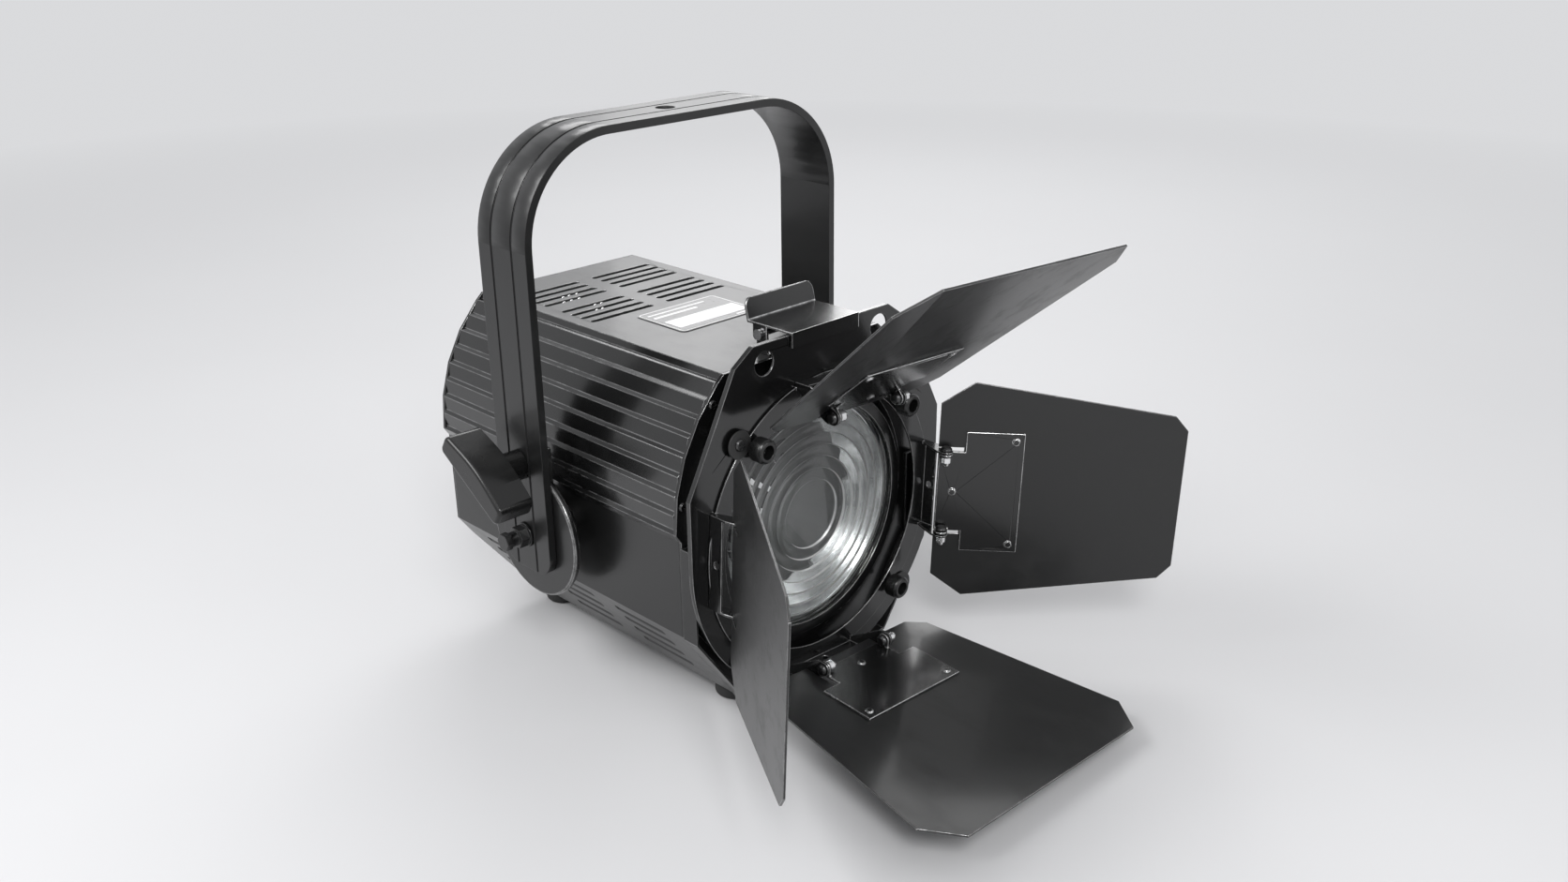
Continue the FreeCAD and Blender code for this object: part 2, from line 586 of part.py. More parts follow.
def rear_panel():
    """Bent back plate with cut-outs for the fan, the sockets, the display and the focus spindle."""
    body = new_body("rear_panel")
    sketch = new_sketch(body, "XZ_Plane", "-(body_back - back_sheet)")
    points = section_outline()[:-2]
    low_half = "side_half - (tray_corner - back_bevel_height) * tan(%s)" % CHAMFER_TURN
    points += [("side_half", "tray_corner"), (low_half, "back_bevel_height")]
    outline(sketch, both_sides(points))
    pad(body, sketch, "back_sheet", backwards=True)
    slope = new_sketch(body, "YZ_Plane")
    outline(slope, [
        ("body_back - back_sheet", "back_bevel_height"),
        ("body_back", "back_bevel_height"),
        ("body_back - back_bevel_depth", "floor_rise"),
        ("body_back - back_sheet - back_bevel_depth", "floor_rise"),
    ])
    pad(body, slope, "2 * side_half", both=True)
    corners = new_sketch(body, "XZ_Plane", "-(body_back - back_sheet - back_bevel_depth - overrun)")
    for sign in ("", "-"):
        outline(corners, [
            ("%sside_half" % sign, "tray_corner"),
            ("%sfloor_half" % sign, "floor_rise"),
            ("%sfloor_half" % sign, "floor_rise - overrun"),
            ("%s(side_half + overrun)" % sign, "floor_rise - overrun"),
            ("%s(side_half + overrun)" % sign, "tray_corner"),
        ])
    pocket(body, corners, "back_bevel_depth + back_sheet + 2 * overrun", backwards=False)
    holes = new_sketch(body, "XZ_Plane", "-body_back")
    circle(holes, "0", "screw_height", "screw_radius + button_clear")
    rectangle(holes, "-inlet_across - inlet_half", "-inlet_across + inlet_half",
              "fittings_height - inlet_high", "fittings_height + inlet_high")
    for across in ("data_in_across", "data_out_across"):
        circle(holes, across, "fittings_height", "data_bore + data_wall")
    rectangle(holes, "-display_half", "display_half", "display_height - display_high", "display_height + display_high")
    for i in range(BUTTON_COUNT):
        across = "(%d - %d / 2) * button_pitch" % (i, BUTTON_COUNT - 1)
        circle(holes, across, "button_height", "button_radius + button_clear")
    pocket(body, holes, "back_sheet + overrun", backwards=True)
    slots = new_sketch(body, "XZ_Plane", "-body_back")
    rectangle(slots, "-grille_half", "grille_half", "grille_height", "grille_height + grille_width")
    cut = pocket(body, slots, "back_sheet + overrun", backwards=True)
    repeat(body, cut, "Z_Axis", GRILLE_ROWS, "grille_pitch")
    return place(body)


# Accessory frame, holder plate and latch

def accessory_frame():
    """Sheet-metal surround below the lens with a tongue that carries the holder plate."""
    body = new_body("accessory_frame")
    sketch = new_sketch(body, "XZ_Plane", "bezel_front")
    outer = tray_outline("-frame_proud", "frame_top")
    inner = tray_outline("frame_sheet - frame_proud", "frame_top")
    mirror = [("-(%s)" % across, along) for across, along in reversed(outer)]
    mirror_inner = [("-(%s)" % across, along) for across, along in inner]
    outline(sketch, outer + mirror + mirror_inner + list(reversed(inner)))
    pad(body, sketch, "frame_depth")
    flange = new_sketch(body, "XZ_Plane", "bezel_front")
    lip = tray_outline("frame_flange", "frame_top")
    mirror_lip = [("-(%s)" % across, along) for across, along in lip]
    outline(flange, outer + mirror + mirror_lip + list(reversed(lip)))
    pad(body, flange, "frame_sheet")
    tongue = new_sketch(body, "YZ_Plane")
    inside = "-(plate_front + guide_clear)"
    outside = "-(plate_front + guide_clear + frame_sheet)"
    outline(tongue, [
        ("-bezel_front", "frame_floor"), (outside, "frame_floor"), (outside, "frame_floor + tongue_lip"),
        (inside, "frame_floor + tongue_lip"), (inside, "frame_floor + frame_sheet"),
        ("-bezel_front", "frame_floor + frame_sheet"),
    ])
    pad(body, tongue, "2 * tongue_half", both=True)
    return place(body)


def plate_upper(inset="0"):
    """Upper outline of the holder plate, right half, moved inwards by an expression."""
    return [
        ("plate_top_half - (%s) / 2" % inset, "plate_top - (%s)" % inset),
        ("plate_corner_half - (%s)" % inset, "plate_corner_height - (%s) / 2" % inset),
        ("plate_radius - (%s)" % inset, "plate_shoulder"),
        ("plate_radius - (%s)" % inset, "beam_height"),
    ]


def barndoor_plate():
    """Holder plate with a turned-back rim, round below and squared above, bored for the ring."""
    body = new_body("barndoor_plate")
    for make in ("upper", "lower"):
        sketch = new_sketch(body, "XZ_Plane", "plate_back")
        if make == "upper":
            outline(sketch, both_sides(plate_upper()))
        else:
            circle(sketch, "0", "beam_height", "plate_radius")
        pad(body, sketch, "plate_depth")
    hollow = new_sketch(body, "XZ_Plane", "plate_back")
    outline(hollow, both_sides(plate_upper("plate_sheet")))
    pocket(body, hollow, "plate_depth - plate_sheet", backwards=True)
    hollow_round = new_sketch(body, "XZ_Plane", "plate_back")
    circle(hollow_round, "0", "beam_height", "plate_radius - plate_sheet")
    pocket(body, hollow_round, "plate_depth - plate_sheet", backwards=True)
    foot = new_sketch(body, "XZ_Plane", "plate_front + overrun")
    rectangle(foot, "-plate_radius", "plate_radius", "beam_height - plate_radius - overrun", "plate_foot")
    pocket(body, foot, "plate_depth + 2 * overrun")
    holes = new_sketch(body, "XZ_Plane", "plate_front + overrun")
    circle(holes, "0", "beam_height", "plate_bore")
    circle(holes, "plate_hole_reach", "plate_hole_height", "plate_hole")
    circle(holes, "-plate_hole_reach", "plate_hole_height", "plate_hole")
    for angle in DIAGONALS:
        across, along = "guide_orbit * cos(%g)" % angle, "beam_height + guide_orbit * sin(%g)" % angle
        circle(holes, across, along, "guide_screw + bolt_clear")
    pocket(body, holes, "plate_depth + 2 * overrun")
    return place(body)


def latch_bracket():
    """Base with two upright ears on the cover that carry the latch pin."""
    body = new_body("latch_bracket")
    outer = "latch_half - latch_sheet - latch_clear"
    base = new_sketch(body, "XY_Plane", "cover_top")
    rectangle(base, "-(%s)" % outer, outer, "-(latch_pin_back + latch_cheek)", "-(latch_pin_back - latch_cheek)")
    pad(body, base, "latch_sheet")
    top = "latch_pin_height + latch_ear"
    for sign in ("", "-"):
        ear = new_sketch(body, "YZ_Plane", "%s(%s)" % (sign, outer))
        front, back = "-(latch_pin_back + latch_ear)", "-(latch_pin_back - latch_ear)"
        rounding = "latch_ear * %s" % ROUND_SHARE
        outline(ear, [(front, "cover_top"), (front, top, rounding), (back, top, rounding), (back, "cover_top")])
        pad(body, ear, "latch_sheet", backwards=not sign)
    hole = new_sketch(body, "YZ_Plane")
    circle(hole, "-latch_pin_back", "latch_pin_height", "latch_pin_radius + pin_clear")
    pocket(body, hole, "2 * latch_half + overrun", both=True)
    return place(body)


def latch_pin():
    """Hinge pin of the latch with a head at each end."""
    body = new_body("latch_pin")
    reach = "latch_half + latch_clear"
    sketch = new_sketch(body, "YZ_Plane")
    circle(sketch, "0", "0", "latch_pin_radius")
    pad(body, sketch, "2 * (%s)" % reach, both=True)
    for sign in ("", "-"):
        head = new_sketch(body, "YZ_Plane", "%s(%s)" % (sign, reach))
        circle(head, "0", "0", "pin_head")
        pad(body, head, "pin_head_depth", backwards=bool(sign))
    return place(body, Vector(0, -value("latch_pin_back"), value("latch_pin_height")))


def latch_spring():
    """Torsion spring wound round the latch pin."""
    coil = Part.makeHelix(value("spring_pitch"), value("spring_pitch * spring_turns"), value("spring_radius"))
    start = coil.Edges[0].valueAt(coil.Edges[0].FirstParameter)
    along = coil.Edges[0].tangentAt(coil.Edges[0].FirstParameter)
    section = Part.Wire([Part.makeCircle(value("spring_wire"), start, along)])
    shell = Part.Wire(coil.Edges).makePipeShell([section], True, True)
    made = document.addObject("Part::Feature", "latch_spring")
    made.Label = "latch_spring"
    made.Shape = shell
    turned = Rotation(Vector(0, 1, 0), QUARTER_TURN)
    half = value("spring_pitch * spring_turns / 2")
    return place(made, Vector(-half, -value("latch_pin_back"), value("latch_pin_height")), turned)


def latch_clip():
    """Sprung clip with a front lip over the holder plate and a thumb tab at the back."""
    body = new_body("latch_clip")
    under = "plate_top + guide_clear"
    over = "plate_top + guide_clear + latch_sheet"
    inside, outside = "-(plate_front + latch_gap)", "-(plate_front + latch_gap + latch_sheet)"
    sketch = new_sketch(body, "YZ_Plane")
    outline(sketch, [
        (outside, "latch_lip_height"), (outside, over), ("-latch_tab_foot", over),
        ("-(latch_tab_foot - latch_tab_lean)", "latch_tab_top"),
        ("-(latch_tab_foot - latch_tab_lean - latch_sheet)", "latch_tab_top"),
        ("-(latch_tab_foot - latch_sheet)", under), (inside, under), (inside, "latch_lip_height"),
    ])
    pad(body, sketch, "2 * latch_half", both=True)
    for sign in ("", "-"):
        cheek = new_sketch(body, "YZ_Plane", "%s(latch_half - latch_sheet)" % sign)
        front, back = "-(latch_pin_back + latch_cheek)", "-(latch_pin_back - latch_cheek)"
        low, rounding = "latch_pin_height - latch_cheek + latch_sheet", "2 * latch_sheet"
        outline(cheek, [(front, under), (front, low, rounding), (back, low, rounding), (back, under)])
        pad(body, cheek, "latch_sheet", backwards=bool(sign))
    hole = new_sketch(body, "YZ_Plane")
    circle(hole, "-latch_pin_back", "latch_pin_height", "latch_pin_radius + pin_clear")
    pocket(body, hole, "2 * latch_half + overrun", both=True)
    top = value("latch_tab_top")
    lean = value("latch_tab_lean")
    round_edges(body, "latch_cheek", lambda edge: straight_along(edge, 1) and edge.CenterOfMass.z > top - lean)
    return place(body)


# Lens group, all turned about the beam axis

def turned(name, points):
    """A body turned about the beam axis from an outline of (radius, distance in front of the tilt axis)."""
    body = new_body(name)
    sketch = new_sketch(body, "XY_Plane")
    outline(sketch, [(radius, "-(%s)" % front) for radius, front in points])
    revolve(body, sketch)
    return place(body, Vector(0, 0, value("beam_height")))


def lens_ring():
    """Retaining ring that holds the lens against the bezel."""
    face = "bezel_front"
    return turned("lens_ring", [
        ("lens_ring_bore", "lens_ring_front"), ("lens_ring_radius", "lens_ring_front"),
        ("lens_ring_radius", face + " + ring_sheet"), ("lens_ring_flange", face + " + ring_sheet"),
        ("lens_ring_flange", face), ("lens_radius + seam", face),
        ("lens_radius + seam", "lens_ring_front - lens_ring_lip"), ("lens_ring_bore", "lens_ring_front - lens_ring_lip"),
    ])


def lens_gasket():
    """Soft ring between the bezel and the back of the lens."""
    return turned("lens_gasket", [
        ("bezel_bore", "bezel_front"), ("lens_radius", "bezel_front"), ("lens_radius", "bezel_front + gasket"),
        ("bezel_bore", "bezel_front + gasket"),
    ])


def fresnel_lens():
    """Stepped lens: a domed centre and rings of slanted teeth on a flat disc."""
    back, front = "bezel_front + gasket", "lens_ring_front - lens_ring_lip - seam"
    outermost = "lens_core + lens_step * %d" % LENS_TEETH
    points = [("0", back), ("lens_radius", back), ("lens_radius", front), (outermost, front)]
    for i in range(LENS_TEETH, 0, -1):
        points.append(("lens_core + lens_step * %d" % i, front + " - lens_tooth"))
        points.append(("lens_core + lens_step * %d" % (i - 1), front))
    for out, drop in DOME_SHARES:
        points.append(("lens_core * %s" % out, front + " - lens_tooth * %s" % drop))
    points.append(("0", front))
    return turned("fresnel_lens", points)


def lens_tube():
    """Bright cone between the lamp carriage and the lens."""
    return turned("lens_tube", [
        ("tube_front", "body_front"), ("tube_front + tube_wall", "body_front"),
        ("tube_back + tube_wall", "tube_end"), ("tube_back", "tube_end"),
    ])


# Rotating ring with its webs, guides, knobs and hinge bolts

def ring_placement():
    """The ring's own frame: beam axis at its origin, turned by the roll it was left at."""
    return Placement(Vector(0, 0, value("beam_height")), Rotation(Vector(0, 1, 0), value("ring_roll")))


def barndoor_ring():
    """Pressed ring with a short tube, four webs turned forward and two hinge ears on each."""
    body = new_body("barndoor_ring")
    tube = new_sketch(body, "XY_Plane")
    face, back = "-ring_face", "-(ring_face - ring_sheet)"
    outline(tube, [
        ("ring_bore", face), ("ring_flange", face), ("ring_flange", back), ("ring_tube", back),
        ("ring_tube", "-ring_back"), ("ring_tube - ring_sheet", "-ring_back"),
        ("ring_tube - ring_sheet", back), ("ring_bore", back),
    ])
    revolve(body, tube)
    for side in range(CORNER_COUNT):
        upright = side % 2 == 0
        sign = "" if side < 2 else "-"
        axis_out = "long_axis_out" if upright else "side_axis_out"
        axis_front = "long_axis_front" if upright else "side_axis_front"
        flat = new_sketch(body, "XZ_Plane", "ring_face - ring_sheet")
        web = new_sketch(body, "XZ_Plane", "ring_face - ring_sheet")
        inner, outer = "%s(ring_tube - ring_sheet)" % sign, "%sweb_out" % sign
        for sketch, low in ((flat, inner), (web, "%s(web_out - ring_sheet)" % sign)):
            if upright:
                rectangle(sketch, "-web_half", "web_half", low, outer)
            else:
                rectangle(sketch, low, outer, "-web_half", "web_half")
        pad(body, flat, "ring_sheet")
        pad(body, web, "web_front - ring_face + ring_sheet")
        for end in ("", "-"):
            start = "%s(web_half - ear_sheet)" % end
            ear = new_sketch(body, "YZ_Plane" if upright else "XY_Plane", start)
            tip, rounding = "ear_radius * %s" % EAR_TIP_SHARE, "ear_radius * %s" % ROUND_SHARE
            far, near = "-(%s + ear_radius)" % axis_front, "-(%s - ear_radius)" % axis_front
            corners = [
                ("-ring_face", "web_out"), ("-(web_front + ear_radius / 2)", "web_out"),
                (far, "%s + ear_radius * %s" % (axis_out, EAR_RISE_SHARE), tip),
                (far, "%s - ear_radius" % axis_out, rounding), (near, "%s - ear_radius" % axis_out, rounding),
                ("-ring_face", "web_out - ear_radius"),
            ]
            if upright:
                outline(ear, [(ahead, "%s(%s)" % (sign, out), *more) for ahead, out, *more in corners])
            else:
                outline(ear, [("%s(%s)" % (sign, out), ahead, *more) for ahead, out, *more in corners])
            pad(body, ear, "ear_sheet", backwards=bool(end))
        bore = new_sketch(body, "YZ_Plane" if upright else "XY_Plane")
        if upright:
            circle(bore, "-%s" % axis_front, "%s%s" % (sign, axis_out), "bolt_radius + bolt_clear")
        else:
            circle(bore, "%s%s" % (sign, axis_out), "-%s" % axis_front, "bolt_radius + bolt_clear")
        pocket(body, bore, "2 * web_half + overrun", both=True)
        centre = new_sketch(body, "YZ_Plane" if not upright else "XY_Plane")
        middle = "-(ring_face + (web_front - ring_face) / 2)"
        if upright:
            circle(centre, "0", middle, "web_hole")
        else:
            circle(centre, middle, "0", "web_hole")
        pocket(body, centre, "web_out + overrun", backwards=(sign == ""))
    spots = new_sketch(body, "XZ_Plane", "ring_face + overrun")
    for angle in DIAGONALS:
        circle(spots, "knob_orbit * cos(%g)" % angle, "knob_orbit * sin(%g)" % angle, "bolt_radius")
    pocket(body, spots, "overrun + 2 * ring_sheet")
    made = place(body)
    made.Placement = ring_placement()
    return made


def master(name, role, points, axis="V_Axis"):
    """A turned body that a group copies, not exported itself."""
    body = new_body(name)
    sketch = new_sketch(body, role)
    outline(sketch, points)
    revolve(body, sketch, axis)
    return body


def copies(body, placements):
    """Copies of a master's solid, one at each placement."""
    document.recompute()
    made = []
    for placement in placements:
        copied = body.Shape.copy()
        copied.Placement = placement
        made.append(copied)
    return made


def on_diagonals(orbit, base):
    """The four diagonal places on a circle about the beam axis."""
    reach = value(orbit)
    turns = [math.radians(angle) for angle in DIAGONALS]
    spots = [Vector(reach * math.cos(turn), 0, reach * math.sin(turn)) for turn in turns]
    return [base * Placement(spot, Rotation()) for spot in spots]


def ring_fittings():
    """Guide bushes and screws on the holder plate, turning knobs on the ring."""
    grip = "ring_face + guide_clear"
    head = grip + " + guide_washer_sheet"
    bore = "guide_screw + bolt_clear"
    fixed = Placement(Vector(0, 0, value("beam_height")), Rotation())
    bush = master("bush_master", "XY_Plane", [
        (bore, "-plate_front"), ("guide_bush", "-plate_front"), ("guide_bush", "-(%s)" % grip),
        ("guide_washer", "-(%s)" % grip), ("guide_washer", "-(%s)" % head), (bore, "-(%s)" % head),
    ])
    group("ring_guides", copies(bush, on_diagonals("guide_orbit", fixed)))
    face, tail = "-(%s + guide_head_depth)" % head, "-(plate_back - overrun)"
    screw = master("screw_master", "XY_Plane", [
        ("0", tail), ("guide_screw", tail), ("guide_screw", "-(%s)" % head), ("guide_head", "-(%s)" % head),
        ("guide_head - guide_head_depth / 2", face), ("0", face),
    ])
    cross_recess(screw, head + " + guide_head_depth")
    group("guide_screws", copies(screw, on_diagonals("guide_orbit", fixed)))
    knob = master("knob_master", "XY_Plane", [
        ("0", "-ring_face"), ("knob_collar", "-ring_face"), ("knob_collar", "-knob_start"),
        ("knob_radius", "-knob_start"), ("knob_radius", "-(knob_end - knob_collar / 2)"),
        ("knob_radius - knob_collar / 2", "-knob_end"), ("knob_bore", "-knob_end"),
        ("knob_bore", "-(knob_end - knob_bore_depth)"), ("0", "-(knob_end - knob_bore_depth)"),
    ])
    group("turning_knobs", copies(knob, on_diagonals("knob_orbit", ring_placement())))


# Each leaf's quarter turns about the beam, its kind and the way its nuts point along its axis
HINGES = {
    "top": (0, "long", 1), "right": (1, "side", 1), "bottom": (2, "long", -1), "left": (3, "side", -1),
}


def hinge_placement(turns, kind):
    """Frame of a hinge: X along its axis, -Y straight ahead and Z away from the beam."""
    turn = Placement(Vector(0, 0, 0), Rotation(Vector(0, 1, 0), QUARTER_TURN * turns))
    out = Placement(Vector(0, -value(kind + "_axis_front"), value(kind + "_axis_out")), Rotation())
    return ring_placement() * turn * out


def bolt_places():
    """Where the hinge bolts stand: two on each axis, with all nuts of an axis on the same side of them."""
    middle = value("bolt_inner + bolt_outer")
    places = []
    for turns, kind, nut_side in HINGES.values():
        turn = Rotation(Vector(0, 0, 1), 0 if nut_side > 0 else HALF_TURN)
        for shift in (0, -nut_side * middle):
            places.append(hinge_placement(turns, kind) * Placement(Vector(shift, 0, 0), turn))
    return places


def hinge_fasteners():
    """Bolts that hold the leaves' hinge plates to the ring's ears, and their domed nuts."""
    shank_end = "bolt_outer + nut_depth - bolt_clear"
    bolt = master("bolt_master", "XY_Plane", [
        ("bolt_inner - bolt_head_depth", "0"), ("bolt_inner - bolt_head_depth", "bolt_head - bolt_head_depth / 2"),
        ("bolt_inner - bolt_head_depth / 2", "bolt_head"), ("bolt_inner", "bolt_head"),
        ("bolt_inner", "bolt_radius"), (shank_end, "bolt_radius"), (shank_end, "0"),
    ], axis="H_Axis")
    group("hinge_bolts", copies(bolt, bolt_places()))
    flat, bore = "bolt_outer + nut_depth", "bolt_radius + bolt_clear"
    nut = master("nut_master", "XY_Plane", [
        ("bolt_outer", bore), ("bolt_outer", "nut_radius"), (flat, "nut_radius"), (flat, "nut_dome"),
        (flat + " + nut_dome * %s" % NUT_CROWN_SHARE, "nut_dome * %s" % NUT_CROWN_SHARE),
        (flat + " + nut_dome", "0"), (flat, "0"), (flat, bore),
    ], axis="H_Axis")
    group("hinge_nuts", copies(nut, bolt_places()))


def leaf_placement(side):
    """Where a leaf stands: its hinge frame, opened by its own angle."""
    turns, kind, _ = HINGES[side]
    opened = value("%s_open_%s" % (kind, side))
    return hinge_placement(turns, kind) * Placement(Vector(0, 0, 0), Rotation(Vector(1, 0, 0), -opened))


def leaf(side):
    """One flat barn door leaf, notched where the ring's hinge ears pass."""
    kind = HINGES[side][1]
    body = new_body("leaf_" + side)
    sketch = new_sketch(body, "XY_Plane", "leaf_offset")
    root = "%s_root" % kind
    gap_in, gap_out = "web_half - ear_sheet - notch_clear", "web_half + notch_clear"
    right = [
        (gap_in, root), (gap_in, "-notch_reach"), (gap_out, "-notch_reach"), (gap_out, root),
        ("%s_root_half" % kind, root),
        ("%s_wide_half" % kind, "-%s_wide" % kind if kind == "side" else "%s_wide" % kind),
        ("%s_tip_half" % kind, "-%s_tip" % kind),
        ("%s_end_half" % kind, "-%s_end" % kind),
    ]
    outline(sketch, both_sides(right))
    pad(body, sketch, "leaf_sheet")
    made = place(body)
    made.Placement = leaf_placement(side)
    return made


def hinge_plate(side):
    """Riveted hinge plate on the beam side of a leaf, with two ears on the hinge bolts."""
    body = new_body("hinge_plate_" + side)
    low, rounding = "leaf_offset - hinge_sheet", "hinge_tongue_root * %s" % ROUND_SHARE
    sketch = new_sketch(body, "XY_Plane", low)
    outline(sketch, both_sides([
        ("hinge_ear_out", "hinge_tongue_root"), ("hinge_ear_out", "-hinge_shoulder"), ("hinge_half", "-hinge_shoulder"),
        ("hinge_half", "-hinge_reach"),
    ]))
    pad(body, sketch, "hinge_sheet")
    for sign in ("", "-"):
        ear = new_sketch(body, "YZ_Plane", "%s(hinge_ear_out - ear_sheet)" % sign)
        outline(ear, [
            ("-hinge_tongue_root", low), ("-hinge_tongue_root", "-hinge_tongue_root", rounding),
            ("hinge_tongue_root", "-hinge_tongue_root", rounding), ("hinge_tongue_root", low),
        ])
        pad(body, ear, "ear_sheet", backwards=bool(sign))
    bore = new_sketch(body, "YZ_Plane")
    circle(bore, "0", "0", "bolt_radius + bolt_clear")
    pocket(body, bore, "2 * hinge_ear_out + overrun", both=True)
    rivets = new_sketch(body, "XY_Plane", low)
    circle(rivets, "hinge_half - rivet_inset", "-(hinge_reach - rivet_inset)", "rivet_radius")
    circle(rivets, "-(hinge_half - rivet_inset)", "-(hinge_reach - rivet_inset)", "rivet_radius")
    circle(rivets, "0", "-rivet_inset", "rivet_radius")
    pad(body, rivets, "rivet_head", backwards=True)
    made = place(body)
    made.Placement = leaf_placement(side)
    return made


# Yoke, tilt discs and clamps

def yoke():
    """Grooved flat bar bent to a yoke, swept along one path, with its hanging and pivot holes."""
    body = new_body("yoke")
    middle, top, radius = "yoke_half - yoke_sheet / 2", "yoke_top - yoke_sheet / 2", "yoke_bend - yoke_sheet / 2"
    path = new_sketch(body, "XZ_Plane")
    x, z, r, low = value(middle), value(top), value(radius), value("yoke_foot")
    start, end, half_way = x - r, z - r, r * math.sqrt(1 / 2)
    left = path.addGeometry(Part.LineSegment(Vector(-x, low, 0), Vector(-x, end, 0)))
    crown = Vector(-start - half_way, end + half_way, 0)
    bend = path.addGeometry(Part.Arc(Vector(-x, end, 0), crown, Vector(-start, z, 0)))
    cross = path.addGeometry(Part.LineSegment(Vector(-start, z, 0), Vector(start, z, 0)))
    crown = Vector(start + half_way, end + half_way, 0)
    other = path.addGeometry(Part.Arc(Vector(start, z, 0), crown, Vector(x, end, 0)))
    right = path.addGeometry(Part.LineSegment(Vector(x, end, 0), Vector(x, low, 0)))
    for first, first_end, second, second_end in (
        (left, 2, bend, 2), (bend, 1, cross, 1), (cross, 2, other, 2), (other, 1, right, 1),
    ):
        path.addConstraint(Sketcher.Constraint("Tangent", first, first_end, second, second_end))
    pin_point(path, left, 1, "-(%s)" % middle, "yoke_foot")
    pin_point(path, right, 2, middle, "yoke_foot")
    datum(path, "DistanceY", -1, 1, cross, 1, top)
    path.addConstraint(Sketcher.Constraint("Horizontal", cross))
    path.addConstraint(Sketcher.Constraint("Vertical", left))
    path.addConstraint(Sketcher.Constraint("Vertical", right))
    datum(path, "Radius", bend, radius)
    section = new_sketch(body, "XY_Plane", "yoke_foot")
    outer, floor, inner = "-yoke_half", "-(yoke_half - groove_depth)", "-(yoke_half - yoke_sheet)"
    half = "yoke_width / 2"
    points = [(inner, "-(%s)" % half), (outer, "-(%s)" % half)]
    for centre in ("-groove_front", "groove_rear"):
        points += [
            (outer, centre + " - groove_width / 2"), (floor, centre + " - groove_width / 2"),
            (floor, centre + " + groove_width / 2"), (outer, centre + " + groove_width / 2"),
        ]
    points += [(outer, half), (inner, half)]
    outline(section, points)
    pipe = body.newObject("PartDesign::AdditivePipe", "yoke_bar")
    pipe.Profile = section
    pipe.Spine = path
    document.recompute()
    low_end, edge_at = value("yoke_foot"), value("yoke_width / 2")

    def at_foot(edge):
        point = edge.Vertexes[0].Point
        return straight_along(edge, 0) and point.z < low_end + TOUCH and abs(abs(point.y) - edge_at) < TOUCH

    round_edges(body, "yoke_corner", at_foot)
    hole = new_sketch(body, "XY_Plane", "yoke_top + overrun")
    circle(hole, "0", "0", "yoke_hole")
    pocket(body, hole, "yoke_sheet + 2 * overrun")
    bores = new_sketch(body, "YZ_Plane")
    circle(bores, "0", "pivot_height", "pivot_radius + bolt_clear")
    circle(bores, "0", "clamp_height", "stud_radius + side_gap")
    pocket(body, bores, "2 * yoke_half + overrun", both=True)
    return place(body)


SIDES = {"left": -1, "right": 1}
HEXAGON = 6


def side_turn(side):
    """Half a turn about the upright axis for the left side's copy of a piece."""
    return Rotation(Vector(0, 0, 1), 0 if SIDES[side] > 0 else HALF_TURN)


def both_legs(name, body, height):
    """A group of two copies of a master made for the right leg."""
    places = [Placement(Vector(0, 0, value(height)), side_turn(side)) for side in SIDES]
    return group(name, copies(body, places))


def tilt_discs():
    """Friction discs on bosses beside the housing, which the clamps grip."""
    body = new_body("tilt_disc_master")
    outer = "yoke_half - yoke_sheet - side_gap"
    sketch = new_sketch(body, "XY_Plane")
    outline(sketch, [
        ("side_half", "pivot_radius + bolt_clear"), ("side_half", "disc_hub"), (outer + " - disc_sheet", "disc_hub"),
        (outer + " - disc_sheet", "disc_radius - disc_rim"), (outer + " - disc_sheet + disc_rim", "disc_radius"),
        (outer + " - disc_rim", "disc_radius"), (outer, "disc_radius - disc_rim"), (outer, "pivot_radius + bolt_clear"),
    ])
    revolve(body, sketch, "H_Axis")
    return both_legs("tilt_discs", body, "pivot_height")


def pivot_bolts():
    """Tilt bolts held in the housing's discs, each with a washer, a hexagon nut and a capped end."""
    body = new_body("pivot_bolt_master")
    face = "yoke_half + side_gap"
    nut_face = face + " + washer_sheet"
    cap_face = nut_face + " + pivot_nut_depth + pivot_neck"
    shank = new_sketch(body, "YZ_Plane", "side_half + seam")
    circle(shank, "0", "0", "pivot_radius")
    pad(body, shank, cap_face + " - side_half - seam")
    washer = new_sketch(body, "YZ_Plane", face)
    circle(washer, "0", "0", "washer_radius")
    pad(body, washer, "washer_sheet")
    nut, cap = (nut_face, "pivot_nut", "pivot_nut_depth"), (cap_face, "pivot_cap", "pivot_cap_depth")
    for start, size, depth in (nut, cap):
        hexagon = new_sketch(body, "YZ_Plane", start)
        turns = [FULL_TURN / HEXAGON * i for i in range(HEXAGON)]
        outline(hexagon, [("%s * cos(%g)" % (size, turn), "%s * sin(%g)" % (size, turn)) for turn in turns])
        pad(body, hexagon, depth)
    return both_legs("pivot_bolts", body, "pivot_height")


def clamp_jaws():
    """Jaws behind the tilt discs, each with the stud that a clamp knob pulls on."""
    body = new_body("clamp_jaw_master")
    leg = "yoke_half - yoke_sheet"
    disc_back = "%s - side_gap - disc_sheet" % leg
    inner = "%s - side_gap - jaw_sheet" % disc_back
    step = "disc_radius + jaw_rim_gap - clamp_lift"
    sketch = new_sketch(body, "XZ_Plane", "-jaw_half")
    outline(sketch, [
        (inner, "-jaw_drop"), ("%s - side_gap" % disc_back, "-jaw_drop"), ("%s - side_gap" % disc_back, step),
        (leg, step), (leg, "jaw_rise"), (inner, "jaw_rise"),
    ])
    pad(body, sketch, "2 * jaw_half")
    stud = new_sketch(body, "YZ_Plane", inner + " + jaw_sheet / 2")
    circle(stud, "0", "0", "stud_radius")
    pad(body, stud, "yoke_half + stud_length - (%s + jaw_sheet / 2)" % inner)
    return both_legs("clamp_jaws", body, "clamp_height")


